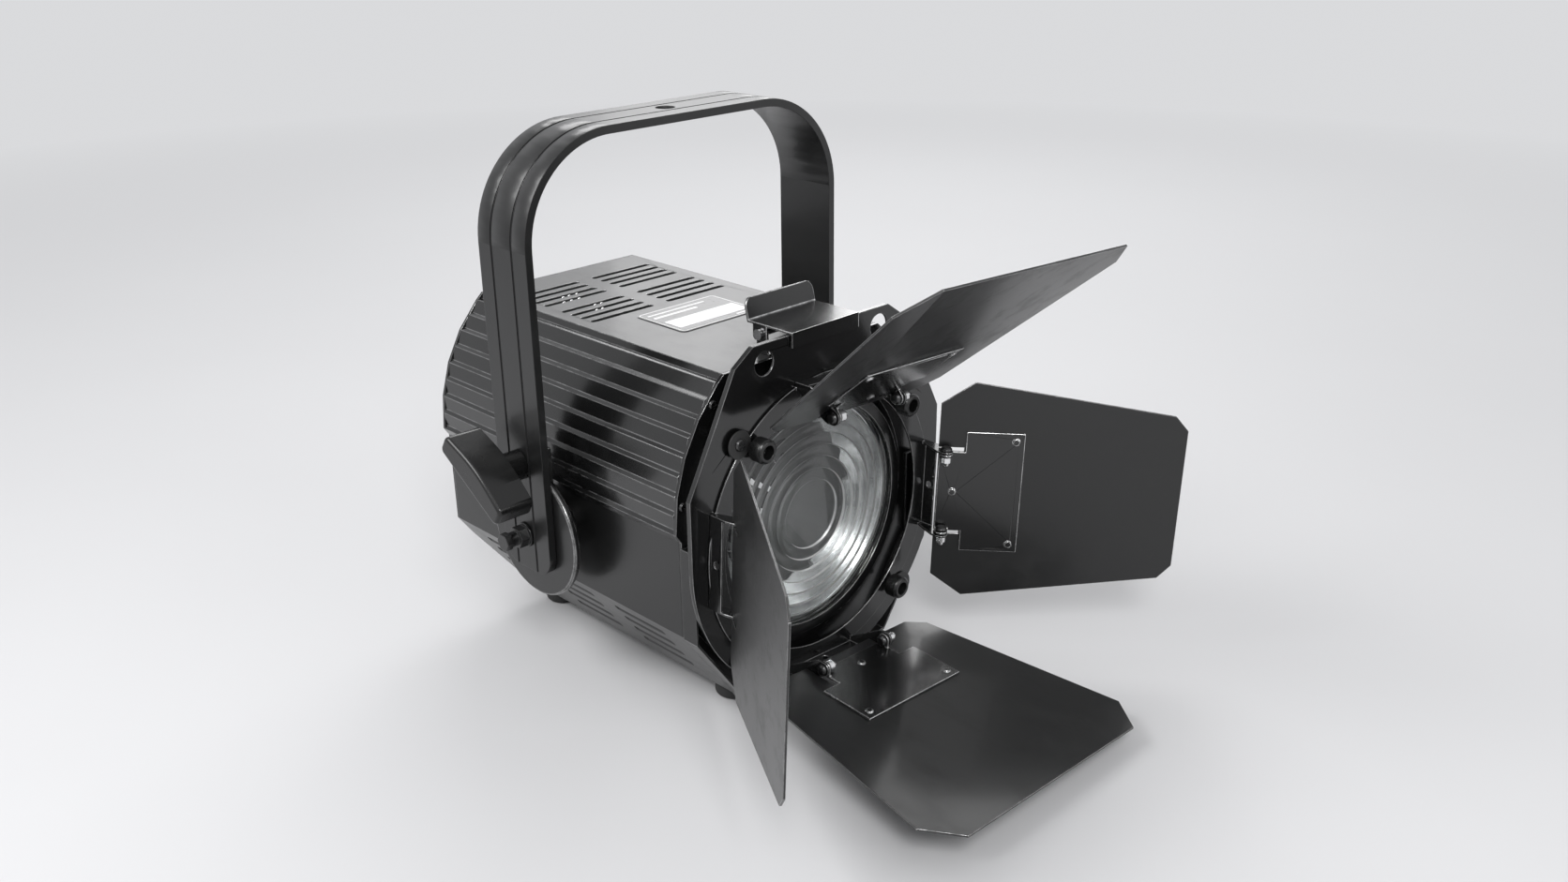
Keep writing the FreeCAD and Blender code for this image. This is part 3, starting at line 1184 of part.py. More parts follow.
def clamp_knob(side):
    """Arched bar knob of the tilt clamp, with its hub bored for the stud."""
    body = new_body("clamp_knob_" + side)
    start = "yoke_half + side_gap"
    hub = new_sketch(body, "YZ_Plane", start)
    circle(hub, "0", "0", "clamp_hub")
    pad(body, hub, "clamp_hub_depth")
    bar = new_sketch(body, "YZ_Plane", start + " + clamp_hub_depth")
    end, low, high = "clamp_bar_long / 2", "-clamp_bar_half", "clamp_bar_half"
    outline(bar, [
        ("-(%s)" % end, low, "clamp_bar_round"), (end, low, "clamp_bar_round"), (end, high, "clamp_bar_round"),
        ("0", "clamp_bar_crown", "clamp_bar_bow"), ("-(%s)" % end, high, "clamp_bar_round"),
    ])
    pad(body, bar, "clamp_bar_depth")
    bore = new_sketch(body, "YZ_Plane", start)
    circle(bore, "0", "0", "stud_radius + bolt_clear")
    pocket(body, bore, "stud_length - side_gap + seam", backwards=True)
    outer = value("yoke_half + side_gap + clamp_hub_depth + clamp_bar_depth")
    round_edges(body, "clamp_bar_edge", lambda edge: all(abs(v.Point.x - outer) < TOUCH for v in edge.Vertexes))
    tilt = Rotation(Vector(1, 0, 0), value("clamp_bar_tilt"))
    return place(body, Vector(0, 0, value("clamp_height")), tilt * side_turn(side))


# Feet

def feet():
    """Four round rubber feet under the tray, each with a recess for its screw."""
    foot = master("foot_master", "XZ_Plane", [
        ("foot_hole", "floor_rise"), ("foot_radius", "floor_rise"), ("foot_radius", "0", "foot_round"),
        ("foot_hole * 2", "0"), ("foot_hole * 2", "foot_recess"), ("foot_hole", "foot_recess"),
    ])
    half = value("foot_half")
    spots = [Vector(sign * half, value(along), 0) for along in ("-foot_front", "foot_rear") for sign in (-1, 1)]
    group("rubber_feet", copies(foot, [Placement(spot, Rotation()) for spot in spots]))


# Lamp carriage and what carries it

def bulkhead(name, back, bore, screw_hole):
    """Cross wall inside the housing, bored for light or air, with holes for the guide rods."""
    body = new_body(name)
    sketch = new_sketch(body, "XZ_Plane", "-(%s)" % back)
    outline(sketch, both_sides([
        ("ledge_reach", "bulkhead_top"), ("bulkhead_half - profile_wall", "side_top + bulkhead_sheet"),
        ("bulkhead_half", "side_top"), ("bulkhead_half", "bulkhead_waist"), ("bulkhead_low_half", "bulkhead_low"),
    ]))
    circle(sketch, "0", "beam_height", bore)
    for sign in ("", "-"):
        circle(sketch, sign + "rod_reach", "rod_height", "rod_radius + pin_clear")
    if screw_hole:
        circle(sketch, "0", "screw_height", "screw_radius + seam")
    pad(body, sketch, "bulkhead_sheet", backwards=True)
    return place(body)


def guide_rods():
    """Two rods that the lamp carriage slides on."""
    length = value("bulkhead_front + bulkhead_rear + bulkhead_sheet")
    rods = []
    for sign in (-1, 1):
        foot = Vector(sign * value("rod_reach"), -value("bulkhead_front"), value("rod_height"))
        rods.append(Part.makeCylinder(value("rod_radius"), length, foot, Vector(0, 1, 0)))
    group("guide_rods", rods)


def led_carriage():
    """Plate that carries the lamp, its heatsink and fan along the guide rods."""
    body = new_body("led_carriage")
    sketch = new_sketch(body, "XZ_Plane", "carriage_back")
    outline(sketch, both_sides([
        ("carriage_top_half", "carriage_top"), ("carriage_half", "rod_height + wing_up"),
        ("carriage_half", "rod_height - wing_down"), ("carriage_low_half", "carriage_low"),
    ]))
    for sign in ("", "-"):
        circle(sketch, sign + "rod_reach", "rod_height", "rod_radius + rod_clear")
    circle(sketch, "0", "screw_height", "screw_radius + rod_clear")
    pad(body, sketch, "carriage_sheet")
    return place(body)


def led_board():
    """Square metal-core board with the round light source."""
    body = new_body("led_board")
    sketch = new_sketch(body, "XZ_Plane")
    rectangle(sketch, "-board_half", "board_half", "-board_half", "board_half")
    pad(body, sketch, "board_sheet")
    emitter = new_sketch(body, "XZ_Plane", "board_sheet")
    circle(emitter, "0", "0", "emitter_radius")
    pad(body, emitter, "emitter_depth")
    turn = Rotation(Vector(0, 1, 0), value("board_turn"))
    return place(body, Vector(0, -value("carriage_front"), value("beam_height")), turn)


def heatsink():
    """Extruded heatsink with a row of fins behind the lamp."""
    body = new_body("heatsink")
    sketch = new_sketch(body, "XZ_Plane", "carriage_back")
    rectangle(sketch, "-sink_half", "sink_half", "beam_height - sink_high", "beam_height + sink_high")
    pad(body, sketch, "sink_base", backwards=True)
    fin = new_sketch(body, "XZ_Plane", "carriage_back - sink_base")
    first = "-fin_pitch * %d / 2" % (FIN_COUNT - 1)
    rectangle(fin, first + " - fin_sheet / 2", first + " + fin_sheet / 2",
              "beam_height - sink_high", "beam_height + sink_high")
    row = pad(body, fin, "fin_depth", backwards=True)
    repeat(body, row, "X_Axis", FIN_COUNT, "fin_pitch")
    return place(body)


def fan_frame():
    """Square fan frame behind the fins, with a bridge that holds the rotor."""
    body = new_body("fan_frame")
    start = "carriage_back - sink_base - fin_depth"
    sketch = new_sketch(body, "XZ_Plane", start)
    rectangle(sketch, "-fan_half", "fan_half", "beam_height - fan_half", "beam_height + fan_half")
    circle(sketch, "0", "beam_height", "fan_bore")
    pad(body, sketch, "fan_depth", backwards=True)
    bridge = new_sketch(body, "XZ_Plane", start + " - fan_depth")
    rectangle(bridge, "-fan_half", "fan_half", "beam_height - rotor_hub / 2", "beam_height + rotor_hub / 2")
    pad(body, bridge, "fan_bridge")
    pin = new_sketch(body, "XZ_Plane", start + " - fan_depth + fan_bridge")
    circle(pin, "0", "beam_height", "fan_pin")
    pad(body, pin, "rotor_depth")
    return place(body)


def fan_rotor():
    """Bladed rotor on the fan's pin."""
    body = new_body("fan_rotor")
    sketch = new_sketch(body, "XZ_Plane")
    circle(sketch, "0", "0", "rotor_hub")
    circle(sketch, "0", "0", "fan_pin + rod_clear")
    pad(body, sketch, "rotor_depth")
    blade = new_sketch(body, "YZ_Plane", "rotor_hub - blade_sheet")
    outline(blade, [
        ("-blade_sheet", "-rotor_hub / 2"), ("0", "-rotor_hub / 2"),
        ("-(rotor_depth - blade_sheet)", "rotor_hub / 2"), ("-rotor_depth", "rotor_hub / 2"),
    ])
    blades = pad(body, blade, "rotor_radius - rotor_hub - blade_sheet")
    repeat_round(body, blades, BLADE_COUNT)
    back = value("sink_base + fin_depth + fan_depth - carriage_back - fan_bridge - seam")
    return place(body, Vector(0, back, value("beam_height")))


def focus_screw():
    """Lead screw that moves the carriage, running out through the rear panel."""
    body = new_body("focus_screw")
    tip = "tube_end - seam"
    sketch = new_sketch(body, "XZ_Plane", tip)
    circle(sketch, "0", "0", "screw_radius")
    pad(body, sketch, tip + " + body_back + focus_knob_gap + focus_knob_depth / 2", backwards=True)
    return place(body, Vector(0, 0, value("screw_height")))


def focus_knob():
    """Round focus knob behind the rear panel with finger flutes."""
    body = new_body("focus_knob")
    sketch = new_sketch(body, "XZ_Plane", "-(body_back + focus_knob_gap)")
    circle(sketch, "0", "0", "focus_knob_radius")
    pad(body, sketch, "focus_knob_depth", backwards=True)
    bore = new_sketch(body, "XZ_Plane", "-(body_back + focus_knob_gap)")
    circle(bore, "0", "0", "screw_radius")
    pocket(body, bore, "focus_knob_depth / 2")
    flute = new_sketch(body, "XZ_Plane", "-(body_back + focus_knob_gap + focus_knob_depth / 3)")
    circle(flute, "0", "focus_knob_radius + flute_radius / 2", "flute_radius")
    cut = pocket(body, flute, "focus_knob_depth")
    repeat_round(body, cut, FLUTE_COUNT)
    return place(body, Vector(0, 0, value("screw_height")))


# Electronics

def power_supply():
    """Closed supply box on the tray's floor."""
    body = new_body("power_supply")
    sketch = new_sketch(body, "XY_Plane", "floor_rise + tray_sheet")
    rectangle(sketch, "-supply_half", "supply_half", "supply_front", "supply_back")
    pad(body, sketch, "supply_high")
    return place(body)


def driver_board():
    """Circuit board of the lamp driver with its parts, held at the rear bulkhead."""
    body = new_body("driver_board")
    sketch = new_sketch(body, "XY_Plane", "driver_height")
    rectangle(sketch, "-driver_half", "driver_half", "driver_front", "bulkhead_rear")
    pad(body, sketch, "driver_sheet")
    chips = new_sketch(body, "XY_Plane", "driver_height + driver_sheet")
    for across in ("-driver_half / 2", "driver_half / 2"):
        rectangle(chips, across + " - chip_half", across + " + chip_half",
                  "driver_front + chip_half", "driver_front + chip_half + chip_long")
    pad(body, chips, "chip_high")
    return place(body)


# Rear panel fittings

CONTACT_COUNT = 3


def power_inlet():
    """Mains inlet with a flange, an open cavity and three contact blades."""
    body = new_body("power_inlet")
    flange = new_sketch(body, "XZ_Plane", "0")
    rectangle(flange, "-inlet_half - inlet_flange", "inlet_half + inlet_flange",
              "-inlet_high - inlet_flange", "inlet_high + inlet_flange")
    pad(body, flange, "inlet_proud", backwards=True)
    shell = new_sketch(body, "XZ_Plane", "0")
    rectangle(shell, "-(inlet_half - seam)", "inlet_half - seam", "-(inlet_high - seam)", "inlet_high - seam")
    pad(body, shell, "inlet_deep")
    cavity = new_sketch(body, "XZ_Plane", "-inlet_proud")
    half, high = "(inlet_half - seam - inlet_wall)", "(inlet_high - seam - inlet_wall)"
    rectangle(cavity, "-" + half, half, "-" + high, high)
    pocket(body, cavity, "inlet_deep + inlet_proud - inlet_bottom", backwards=True)
    blades = new_sketch(body, "XZ_Plane", "inlet_deep - inlet_bottom")
    for across, along in (("-blade_spread", "-blade_low"), ("0", "blade_low"), ("blade_spread", "-blade_low")):
        rectangle(blades, across + " - blade_thick", across + " + blade_thick",
                  along + " - blade_half", along + " + blade_half")
    pad(body, blades, "blade_long", backwards=True)
    return place(body, Vector(-value("inlet_across"), value("body_back"), value("fittings_height")))


def data_socket(name, across, contacts_out):
    """Round three-contact data socket in a flange, with pins or with contact holes."""
    body = new_body(name)
    flange = new_sketch(body, "XZ_Plane", "0")
    rectangle(flange, "-data_half", "data_half", "-data_high", "data_high")
    pad(body, flange, "data_proud", backwards=True)
    shell = new_sketch(body, "XZ_Plane", "0")
    circle(shell, "0", "0", "data_bore + data_wall - seam")
    pad(body, shell, "data_deep")
    cavity = new_sketch(body, "XZ_Plane", "-data_proud")
    circle(cavity, "0", "0", "data_bore")
    depth = "data_deep + data_proud - data_bottom" if contacts_out else "data_bottom"
    pocket(body, cavity, depth, backwards=True)
    floor = "data_deep - data_bottom" if contacts_out else "data_bottom - data_proud"
    contacts = new_sketch(body, "XZ_Plane", floor)
    for i in range(CONTACT_COUNT):
        angle = QUARTER_TURN + FULL_TURN / CONTACT_COUNT * i
        circle(contacts, "contact_orbit * cos(%g)" % angle, "contact_orbit * sin(%g)" % angle, "contact_radius")
    if contacts_out:
        pad(body, contacts, "contact_long", backwards=True)
    else:
        pocket(body, contacts, "contact_long", backwards=True)
    return place(body, Vector(value(across), value("body_back"), value("fittings_height")))


def menu_display():
    """Display window with its housing behind the rear panel."""
    body = new_body("menu_display")
    sketch = new_sketch(body, "XZ_Plane", "0")
    rectangle(sketch, "-display_half - display_proud", "display_half + display_proud",
              "-display_high - display_proud", "display_high + display_proud")
    pad(body, sketch, "display_proud", backwards=True)
    core = new_sketch(body, "XZ_Plane", "0")
    rectangle(core, "-display_half + seam", "display_half - seam", "-display_high + seam", "display_high - seam")
    pad(body, core, "display_depth")
    return place(body, Vector(0, value("body_back"), value("display_height")))


def menu_button(number):
    """Push button that travels in its hole in the rear panel, with a collar behind it."""
    body = new_body("menu_button_%d" % (number + 1))
    sketch = new_sketch(body, "XZ_Plane", "-button_proud")
    circle(sketch, "0", "0", "button_radius")
    pad(body, sketch, "button_proud + button_depth")
    collar = new_sketch(body, "XZ_Plane", "back_sheet + seam")
    circle(collar, "0", "0", "button_head")
    pad(body, collar, "back_sheet")
    across = value("(%d - %d / 2) * button_pitch" % (number, BUTTON_COUNT - 1))
    return place(body, Vector(across, value("body_back"), value("button_height")))


def button_board():
    """Switch board behind the buttons."""
    body = new_body("button_board")
    sketch = new_sketch(body, "XZ_Plane", "button_depth + button_travel + seam")
    rectangle(sketch, "-display_half", "display_half", "-button_drop - 2 * button_head", "display_high")
    pad(body, sketch, "driver_sheet")
    posts = new_sketch(body, "XZ_Plane", "back_sheet")
    for across in ("-button_pitch", "button_pitch"):
        circle(posts, across, "-button_drop - button_head", "post_radius")
    pad(body, posts, "button_depth + button_travel + seam - back_sheet")
    return place(body, Vector(0, value("body_back"), value("display_height")))


def safety_eye():
    """Eye plate for a safety bond at the top of the rear panel."""
    body = new_body("safety_eye")
    sketch = new_sketch(body, "YZ_Plane")
    outline(sketch, [
        ("0", "-eye_radius"), ("2 * eye_radius", "-eye_radius", "eye_round"),
        ("2 * eye_radius", "eye_radius", "eye_round"), ("0", "eye_radius"),
    ])
    circle(sketch, "eye_radius", "0", "eye_bore")
    pad(body, sketch, "eye_sheet", both=True)
    base = new_sketch(body, "XZ_Plane", "0")
    rectangle(base, "-eye_radius", "eye_radius", "-eye_radius", "eye_radius")
    pad(body, base, "eye_base", backwards=True)
    return place(body, Vector(value("eye_across"), value("body_back"), value("eye_height")))


# Where the bezel's screws sit along the flank, counted in rib steps from the cover
SCREW_STEPS = (1, 6.5)


def housing_screws():
    """Screws that hold the bezel, set inside its curved edge."""
    head = master("housing_screw_master", "XY_Plane", [
        ("0", "0"), ("screw_head", "0"), ("screw_head - screw_head_depth / 2", "-screw_head_depth"),
        ("0", "-screw_head_depth"),
    ])
    cross_recess(head, "screw_head_depth")
    places = [flank("(rib_first_angle - %s * rib_turn)" % step, "screw_inset") for step in SCREW_STEPS]
    front = -value("bezel_front")
    spots = [Vector(sign * value(across), front, value(high)) for across, high in places for sign in (-1, 1)]
    group("housing_screws", copies(head, [Placement(spot, Rotation()) for spot in spots]))


def main():
    """Builds every sub-part, checks it and writes it out."""
    side_profile("left_side_profile", True)
    side_profile("right_side_profile", False)
    top_cover()
    bottom_tray()
    front_bezel()
    rear_panel()
    accessory_frame()
    barndoor_plate()
    latch_bracket()
    latch_pin()
    latch_spring()
    latch_clip()
    lens_ring()
    lens_gasket()
    fresnel_lens()
    lens_tube()
    barndoor_ring()
    ring_fittings()
    hinge_fasteners()
    for side in HINGES:
        leaf(side)
        hinge_plate(side)
    yoke()
    tilt_discs()
    pivot_bolts()
    clamp_jaws()
    for side in SIDES:
        clamp_knob(side)
    feet()
    bulkhead("front_bulkhead", "-bulkhead_front", "bulkhead_bore", False)
    bulkhead("rear_bulkhead", "bulkhead_rear", "fan_half", True)
    guide_rods()
    led_carriage()
    led_board()
    heatsink()
    fan_frame()
    fan_rotor()
    focus_screw()
    focus_knob()
    power_supply()
    driver_board()
    power_inlet()
    data_socket("data_in_socket", "data_in_across", True)
    data_socket("data_out_socket", "data_out_across", False)
    menu_display()
    for number in range(BUTTON_COUNT):
        menu_button(number)
    button_board()
    safety_eye()
    housing_screws()

    document.recompute()
    for thing in document.Objects:
        if "Invalid" in thing.State or "Error" in thing.State:
            raise ValueError("%s failed: %s" % (thing.Name, thing.State))
    for thing in parts:
        if thing.Shape.isNull() or not thing.Shape.isValid():
            raise ValueError("%s has no valid shape" % thing.Label)
    os.makedirs("parts", exist_ok=True)
    for thing in parts:
        thing.Shape.exportStep("parts/%s.step" % thing.Label)
    print(len(parts), "sub-parts written")


main()
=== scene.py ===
# %% [markdown]
# # A stage spotlight with barn doors
# The lamp's shapes come from its CAD model. This script gives each surface its finish, adds the small
# fittings that a CAD model leaves out, and sets up the studio in which the lamp is shown.
# Every length is in metres, in the CAD model's own frame: the beam leaves towards -Y and +Z is up.

# %% Load the frame
import math

import bmesh
import bpy
from mathutils import Matrix, Vector


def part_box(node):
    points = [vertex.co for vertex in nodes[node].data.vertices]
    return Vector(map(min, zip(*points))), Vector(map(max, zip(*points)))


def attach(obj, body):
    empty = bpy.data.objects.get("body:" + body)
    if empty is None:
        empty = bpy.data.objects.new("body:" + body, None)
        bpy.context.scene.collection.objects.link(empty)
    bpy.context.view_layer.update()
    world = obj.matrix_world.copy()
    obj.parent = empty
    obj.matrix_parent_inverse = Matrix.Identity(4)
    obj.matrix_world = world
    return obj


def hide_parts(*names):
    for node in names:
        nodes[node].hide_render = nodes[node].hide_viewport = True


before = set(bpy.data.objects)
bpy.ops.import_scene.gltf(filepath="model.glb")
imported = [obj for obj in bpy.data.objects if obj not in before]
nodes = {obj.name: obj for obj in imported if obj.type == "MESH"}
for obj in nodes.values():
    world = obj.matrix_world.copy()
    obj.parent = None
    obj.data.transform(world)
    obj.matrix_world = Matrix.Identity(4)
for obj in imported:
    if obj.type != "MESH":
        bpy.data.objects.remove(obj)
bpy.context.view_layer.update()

MM = 0.001

# %% [markdown]
# ## Writing shader maths as Python
# A finish mixes noise, masks and colours. Wired by hand that takes a dozen lines for one formula, so one
# small class wraps a socket and lets `mask * 0.2 + 0.4` add the Math nodes. Everything that isn't plain
# arithmetic goes through `Finish.node`, which takes a node's type, its settings and its sockets.

# %% The shader helpers
class Value:
    """A socket of a finish, on which ordinary arithmetic adds Math nodes."""

    def __init__(self, finish, socket):
        self.finish = finish
        self.socket = socket

    def combine(self, operation, first, second):
        """Adds one Math node that works on two values or numbers."""
        return self.finish.node("ShaderNodeMath", {"operation": operation}, {0: first, 1: second})

    def __add__(self, other):
        return self.combine("ADD", self, other)

    __radd__ = __add__

    def __mul__(self, other):
        return self.combine("MULTIPLY", self, other)

    __rmul__ = __mul__

    def __sub__(self, other):
        return self.combine("SUBTRACT", self, other)

    def __rsub__(self, other):
        return self.combine("SUBTRACT", other, self)

    def largest(self, other):
        """The larger of two values at each point."""
        return self.combine("MAXIMUM", self, other)


class Finish:
    """A material on the Principled shader, with constants set on the shader's own sockets."""

    def __init__(self, name, **constants):
        self.material = bpy.data.materials.new(name)
        self.material.use_nodes = True
        self.tree = self.material.node_tree
        self.shader = self.tree.nodes["Principled BSDF"]
        self.output = self.tree.nodes["Material Output"]
        for socket, value in constants.items():
            self.shader.inputs[socket.replace("_", " ")].default_value = value

    def node(self, kind, settings, inputs, output=0):
        """Adds any node: settings first, then values or links for its sockets."""
        made = self.tree.nodes.new(kind)
        for name, value in settings.items():
            setattr(made, name, value)
        for place, value in inputs.items():
            if isinstance(value, Value):
                self.tree.links.new(value.socket, made.inputs[place])
            else:
                made.inputs[place].default_value = value
        return Value(self, made.outputs[output])

    def place(self, stretch=(1, 1, 1)):
        """Object coordinates, stretched along the axes."""
        coordinates = self.node("ShaderNodeTexCoord", {}, {}, "Object")
        return self.node("ShaderNodeMapping", {}, {"Vector": coordinates, "Scale": stretch})

    def noise(self, size, detail=2.0, roughness=0.5, stretch=(1, 1, 1)):
        """Noise whose grains are about `size` metres across, from 0 to 1."""
        inputs = {"Vector": self.place(stretch), "Scale": 1 / size, "Detail": detail, "Roughness": roughness}
        return self.node("ShaderNodeTexNoise", {}, inputs, "Fac")

    def distance(self):
        """Metres from the origin to each point."""
        return self.node("ShaderNodeVectorMath", {"operation": "LENGTH"}, {0: self.place()}, "Value")

    def ramp(self, value, low, high):
        """Spreads a narrow band of values over the whole way from 0 to 1."""
        inputs = {"Value": value, "From Min": low, "From Max": high}
        return self.node("ShaderNodeMapRange", {"clamp": True}, inputs)

    def blend(self, factor, first, second):
        """Mixes two colours by a factor."""
        return self.node("ShaderNodeMix", {"data_type": "RGBA"}, {0: factor, 6: first, 7: second}, 2)

    def feed(self, socket, value):
        """Links a value to one of the shader's sockets."""
        self.tree.links.new(value.socket, self.shader.inputs[socket])
        return self

    def relief(self, height, depth):
        """Feeds a height from 0 to 1 to the shader as bumps `depth` metres high."""
        inputs = {"Height": height, "Distance": depth, "Strength": 1.0}
        return self.feed("Normal", self.node("ShaderNodeBump", {}, inputs))

    def mix_with(self, factor, kind, inputs):
        """Puts a second shader beside the first: factor 0 is the first, 1 the second."""
        second = self.node(kind, {}, inputs)
        first = Value(self, self.shader.outputs[0])
        mixed = self.node("ShaderNodeMixShader", {}, {0: factor, 1: first, 2: second})
        self.tree.links.new(mixed.socket, self.output.inputs["Surface"])
        return self


class Surround(Finish):
    """The world's own finish, on a Background shader."""

    def __init__(self, world, **constants):
        world.use_nodes = True
        self.tree = world.node_tree
        self.shader = self.tree.nodes["Background"]
        self.output = self.tree.nodes["World Output"]
        for socket, value in constants.items():
            self.shader.inputs[socket].default_value = value


def grey(level, warmth=0.0):
    """A grey with a slight warm or cool cast, as an opaque colour."""
    return (level * (1 + warmth), level, level * (1 - warmth), 1)


# %% [markdown]
# ## Powder coat
# The housing, the yoke and the leaves are steel and aluminium under black powder coat. Sprayed powder melts
# into a skin with a faint orange-peel surface: deep black, with soft-edged reflections. A fine noise gives
# the bumps, a broad one lets the gloss wander as it does on a large sheet, a third leaves a trace of handling
# marks, which show as slightly duller patches, and a fourth scatters a little dust.

# %% Powder-coat finishes
GLOSS_PATCH = 70 * MM
GLOSS_DRIFT = 0.14
SMEAR = 18 * MM
SMEAR_BAND = (0.5, 0.78)
SMEAR_STRETCH = (1, 0.45, 1)
SMEAR_SHADE = 0.3
DUST_SPECK = 2.2 * MM
DUST_BAND = (0.66, 0.74)
DUST_SHADE = 0.25
PEEL_GRAIN = 1.2 * MM


def powder_coat(name, shade, gloss, peel, coat=0.2, marks=0.08):
    """Black or grey powder coat: shade, roughness and depth of the orange peel in metres."""
    finish = Finish(name, Metallic=0.0, IOR=1.5, Coat_Weight=coat, Coat_Roughness=0.12)
    drift = finish.noise(GLOSS_PATCH, detail=3)
    smears = finish.ramp(finish.noise(SMEAR, detail=6, roughness=0.7, stretch=SMEAR_STRETCH), *SMEAR_BAND)
    dust = finish.ramp(finish.noise(DUST_SPECK, detail=2), *DUST_BAND)
    worn = smears * SMEAR_SHADE + dust * DUST_SHADE
    finish.feed("Base Color", finish.blend(worn, grey(shade, -0.02), grey(shade * 2.2, 0.01)))
    finish.feed("Roughness", drift * GLOSS_DRIFT + smears * marks + (gloss - GLOSS_DRIFT / 2))
    finish.relief(finish.noise(PEEL_GRAIN, detail=2), peel)
    return finish.material


housing_black = powder_coat("housing_black", 0.006, 0.30, 0.02 * MM)
rib_black = powder_coat("rib_black", 0.005, 0.20, 0.012 * MM, coat=0.4, marks=0.05)
latch_black = powder_coat("latch_black", 0.006, 0.22, 0.01 * MM, coat=0.5, marks=0.06)
cover_grey = powder_coat("cover_grey", 0.022, 0.36, 0.03 * MM, coat=0.3)
door_black = powder_coat("door_black", 0.007, 0.36, 0.02 * MM, marks=0.16)
yoke_black = powder_coat("yoke_black", 0.006, 0.33, 0.01 * MM, coat=0.15, marks=0.03)
print("powder coats:", len(bpy.data.materials))

# %% [markdown]
# ## Painted highlights on the edges
# Most edges of the real lamp show as a fine light line, where they catch the light. The bevels of those CAD
# nodes get a second finish that paints this highlight on: a metal sheen, lighter than the powder coat,
# broken up in patches.

# %% Edge finish
def edge_highlight_finish(name, shade, gloss):
    """Painted highlight for a bevel: a lighter metal sheen, broken up in patches."""
    finish = Finish(name, IOR=1.5, Coat_Weight=0.3, Coat_Roughness=0.1)
    # A noise breaks the painted highlight into patches that are darker and less metallic.
    cover = finish.ramp(finish.noise(9 * MM, detail=4, roughness=0.6), 0.42, 0.62)
    finish.feed("Base Color", finish.blend(cover, grey(shade), grey(shade * 0.35)))
    finish.feed("Metallic", 1 - cover * 0.5)
    finish.feed("Roughness", cover * 0.1 + gloss)
    return finish.material


# Two lighter edge finishes that paint highlights onto the bevels: a dim one and a bright one.
painted_edge_sheen = edge_highlight_finish("painted_edge_sheen", 0.26, 0.2)
painted_edge_highlight = edge_highlight_finish("painted_edge_highlight", 0.6, 0.22)
print("edges:", painted_edge_sheen.name, painted_edge_highlight.name)

# %% [markdown]
# ## Bare and plated metal
# Nuts and the latch pin are bright zinc plate, most screws are blackened, and the bowl behind the lens is
# spun from satin sheet. A metal's colour is the tint of what it reflects, so these differ by shade and gloss
# alone. Fine lines in the roughness show how they were made: round the spun bowl, and along extruded bars.

# %% Metal finishes
def plated_steel(name, shade, gloss):
    """Plated fasteners with a slightly clouded gloss."""
    finish = Finish(name, Metallic=1.0)
    cloud = finish.noise(4 * MM, detail=3)
    finish.feed("Base Color", finish.blend(cloud, grey(shade, 0.01), grey(shade * 0.8, -0.02)))
    finish.feed("Roughness", cloud * 0.12 + gloss)
    return finish.material


def rolled_sheet(name, shade, gloss, stretch, metal=1.0):
    """Sheet or extrusion with fine lines, which cross the axis that has the largest stretch."""
    finish = Finish(name, Metallic=metal)
    lines = finish.noise(3 * MM, detail=4, stretch=stretch)
    finish.feed("Base Color", finish.blend(lines, grey(shade), grey(shade * 0.85, -0.01)))
    finish.feed("Roughness", lines * 0.18 + gloss)
    finish.relief(lines, 0.01 * MM)
    return finish.material


bright_steel = plated_steel("bright_steel", 0.88, 0.10)
dark_steel = plated_steel("dark_steel", 0.09, 0.22)
satin_bowl = rolled_sheet("satin_bowl", 0.82, 0.12, (1, 14, 1), metal=0.9)
dull_aluminium = rolled_sheet("dull_aluminium", 0.28, 0.38, (1, 0.2, 1))
print("metals:", bright_steel.name, dark_steel.name, satin_bowl.name, dull_aluminium.name)

# %% [markdown]
# ## Plastic, rubber, glass and boards
# The knobs and sockets are moulded: a satin black with the fine texture of a spark-eroded mould. The feet
# are duller rubber. The lens is pressed glass, whose look comes from refraction; light that the lamps send
# through it is let straight on by the Light Path node, because a path tracer finds such light only rarely.

# %% Moulded, pressed and printed finishes
def moulded(name, shade, gloss, grain, depth):
    """Moulded plastic or rubber with the grain of its mould."""
    finish = Finish(name, Metallic=0.0, IOR=1.49)
    speck = finish.noise(grain, detail=3)
    haze = finish.noise(20 * MM, detail=2)
    finish.feed("Base Color", finish.blend(haze, grey(shade), grey(shade * 1.35)))
    finish.feed("Roughness", haze * 0.12 + gloss)
    finish.relief(speck, depth)
    return finish.material


def pressed_glass(name):
    """Clear lens glass, faintly tinted, that lets the lamps' light straight through."""
    finish = Finish(name, Roughness=0.01, IOR=1.5, Transmission_Weight=1.0)
    tint = finish.noise(20 * MM, detail=1)
    finish.feed("Base Color", finish.blend(tint, (0.98, 0.99, 0.985, 1), (0.95, 0.97, 0.965, 1)))
    lamp_light = finish.node("ShaderNodeLightPath", {}, {}, "Is Shadow Ray")
    scattered = finish.node("ShaderNodeLightPath", {}, {}, "Is Diffuse Ray")
    clear = {"Color": (0.9, 0.92, 0.92, 1)}
    finish.mix_with(lamp_light.largest(scattered), "ShaderNodeBsdfTransparent", clear)
    return finish.material


def frosted_glass(name):
    """The short walls between the lens's rings, which leave the mould rough."""
    finish = Finish(name, IOR=1.5, Transmission_Weight=0.5)
    frost = finish.noise(3 * MM, detail=2)
    finish.feed("Base Color", finish.blend(frost, grey(0.4), grey(0.6)))
    finish.feed("Roughness", frost * 0.2 + 0.35)
    return finish.material


def solder_mask(name, first, second):
    """Printed board: lacquer over copper tracks that run front to back."""
    finish = Finish(name, Metallic=0.0, Coat_Weight=0.5, Coat_Roughness=0.15)
    tracks = finish.ramp(finish.noise(3 * MM, detail=0, stretch=(1, 0.08, 1)), 0.48, 0.52)
    finish.feed("Base Color", finish.blend(tracks, first, second))
    finish.feed("Roughness", tracks * 0.1 + 0.35)
    return finish.material


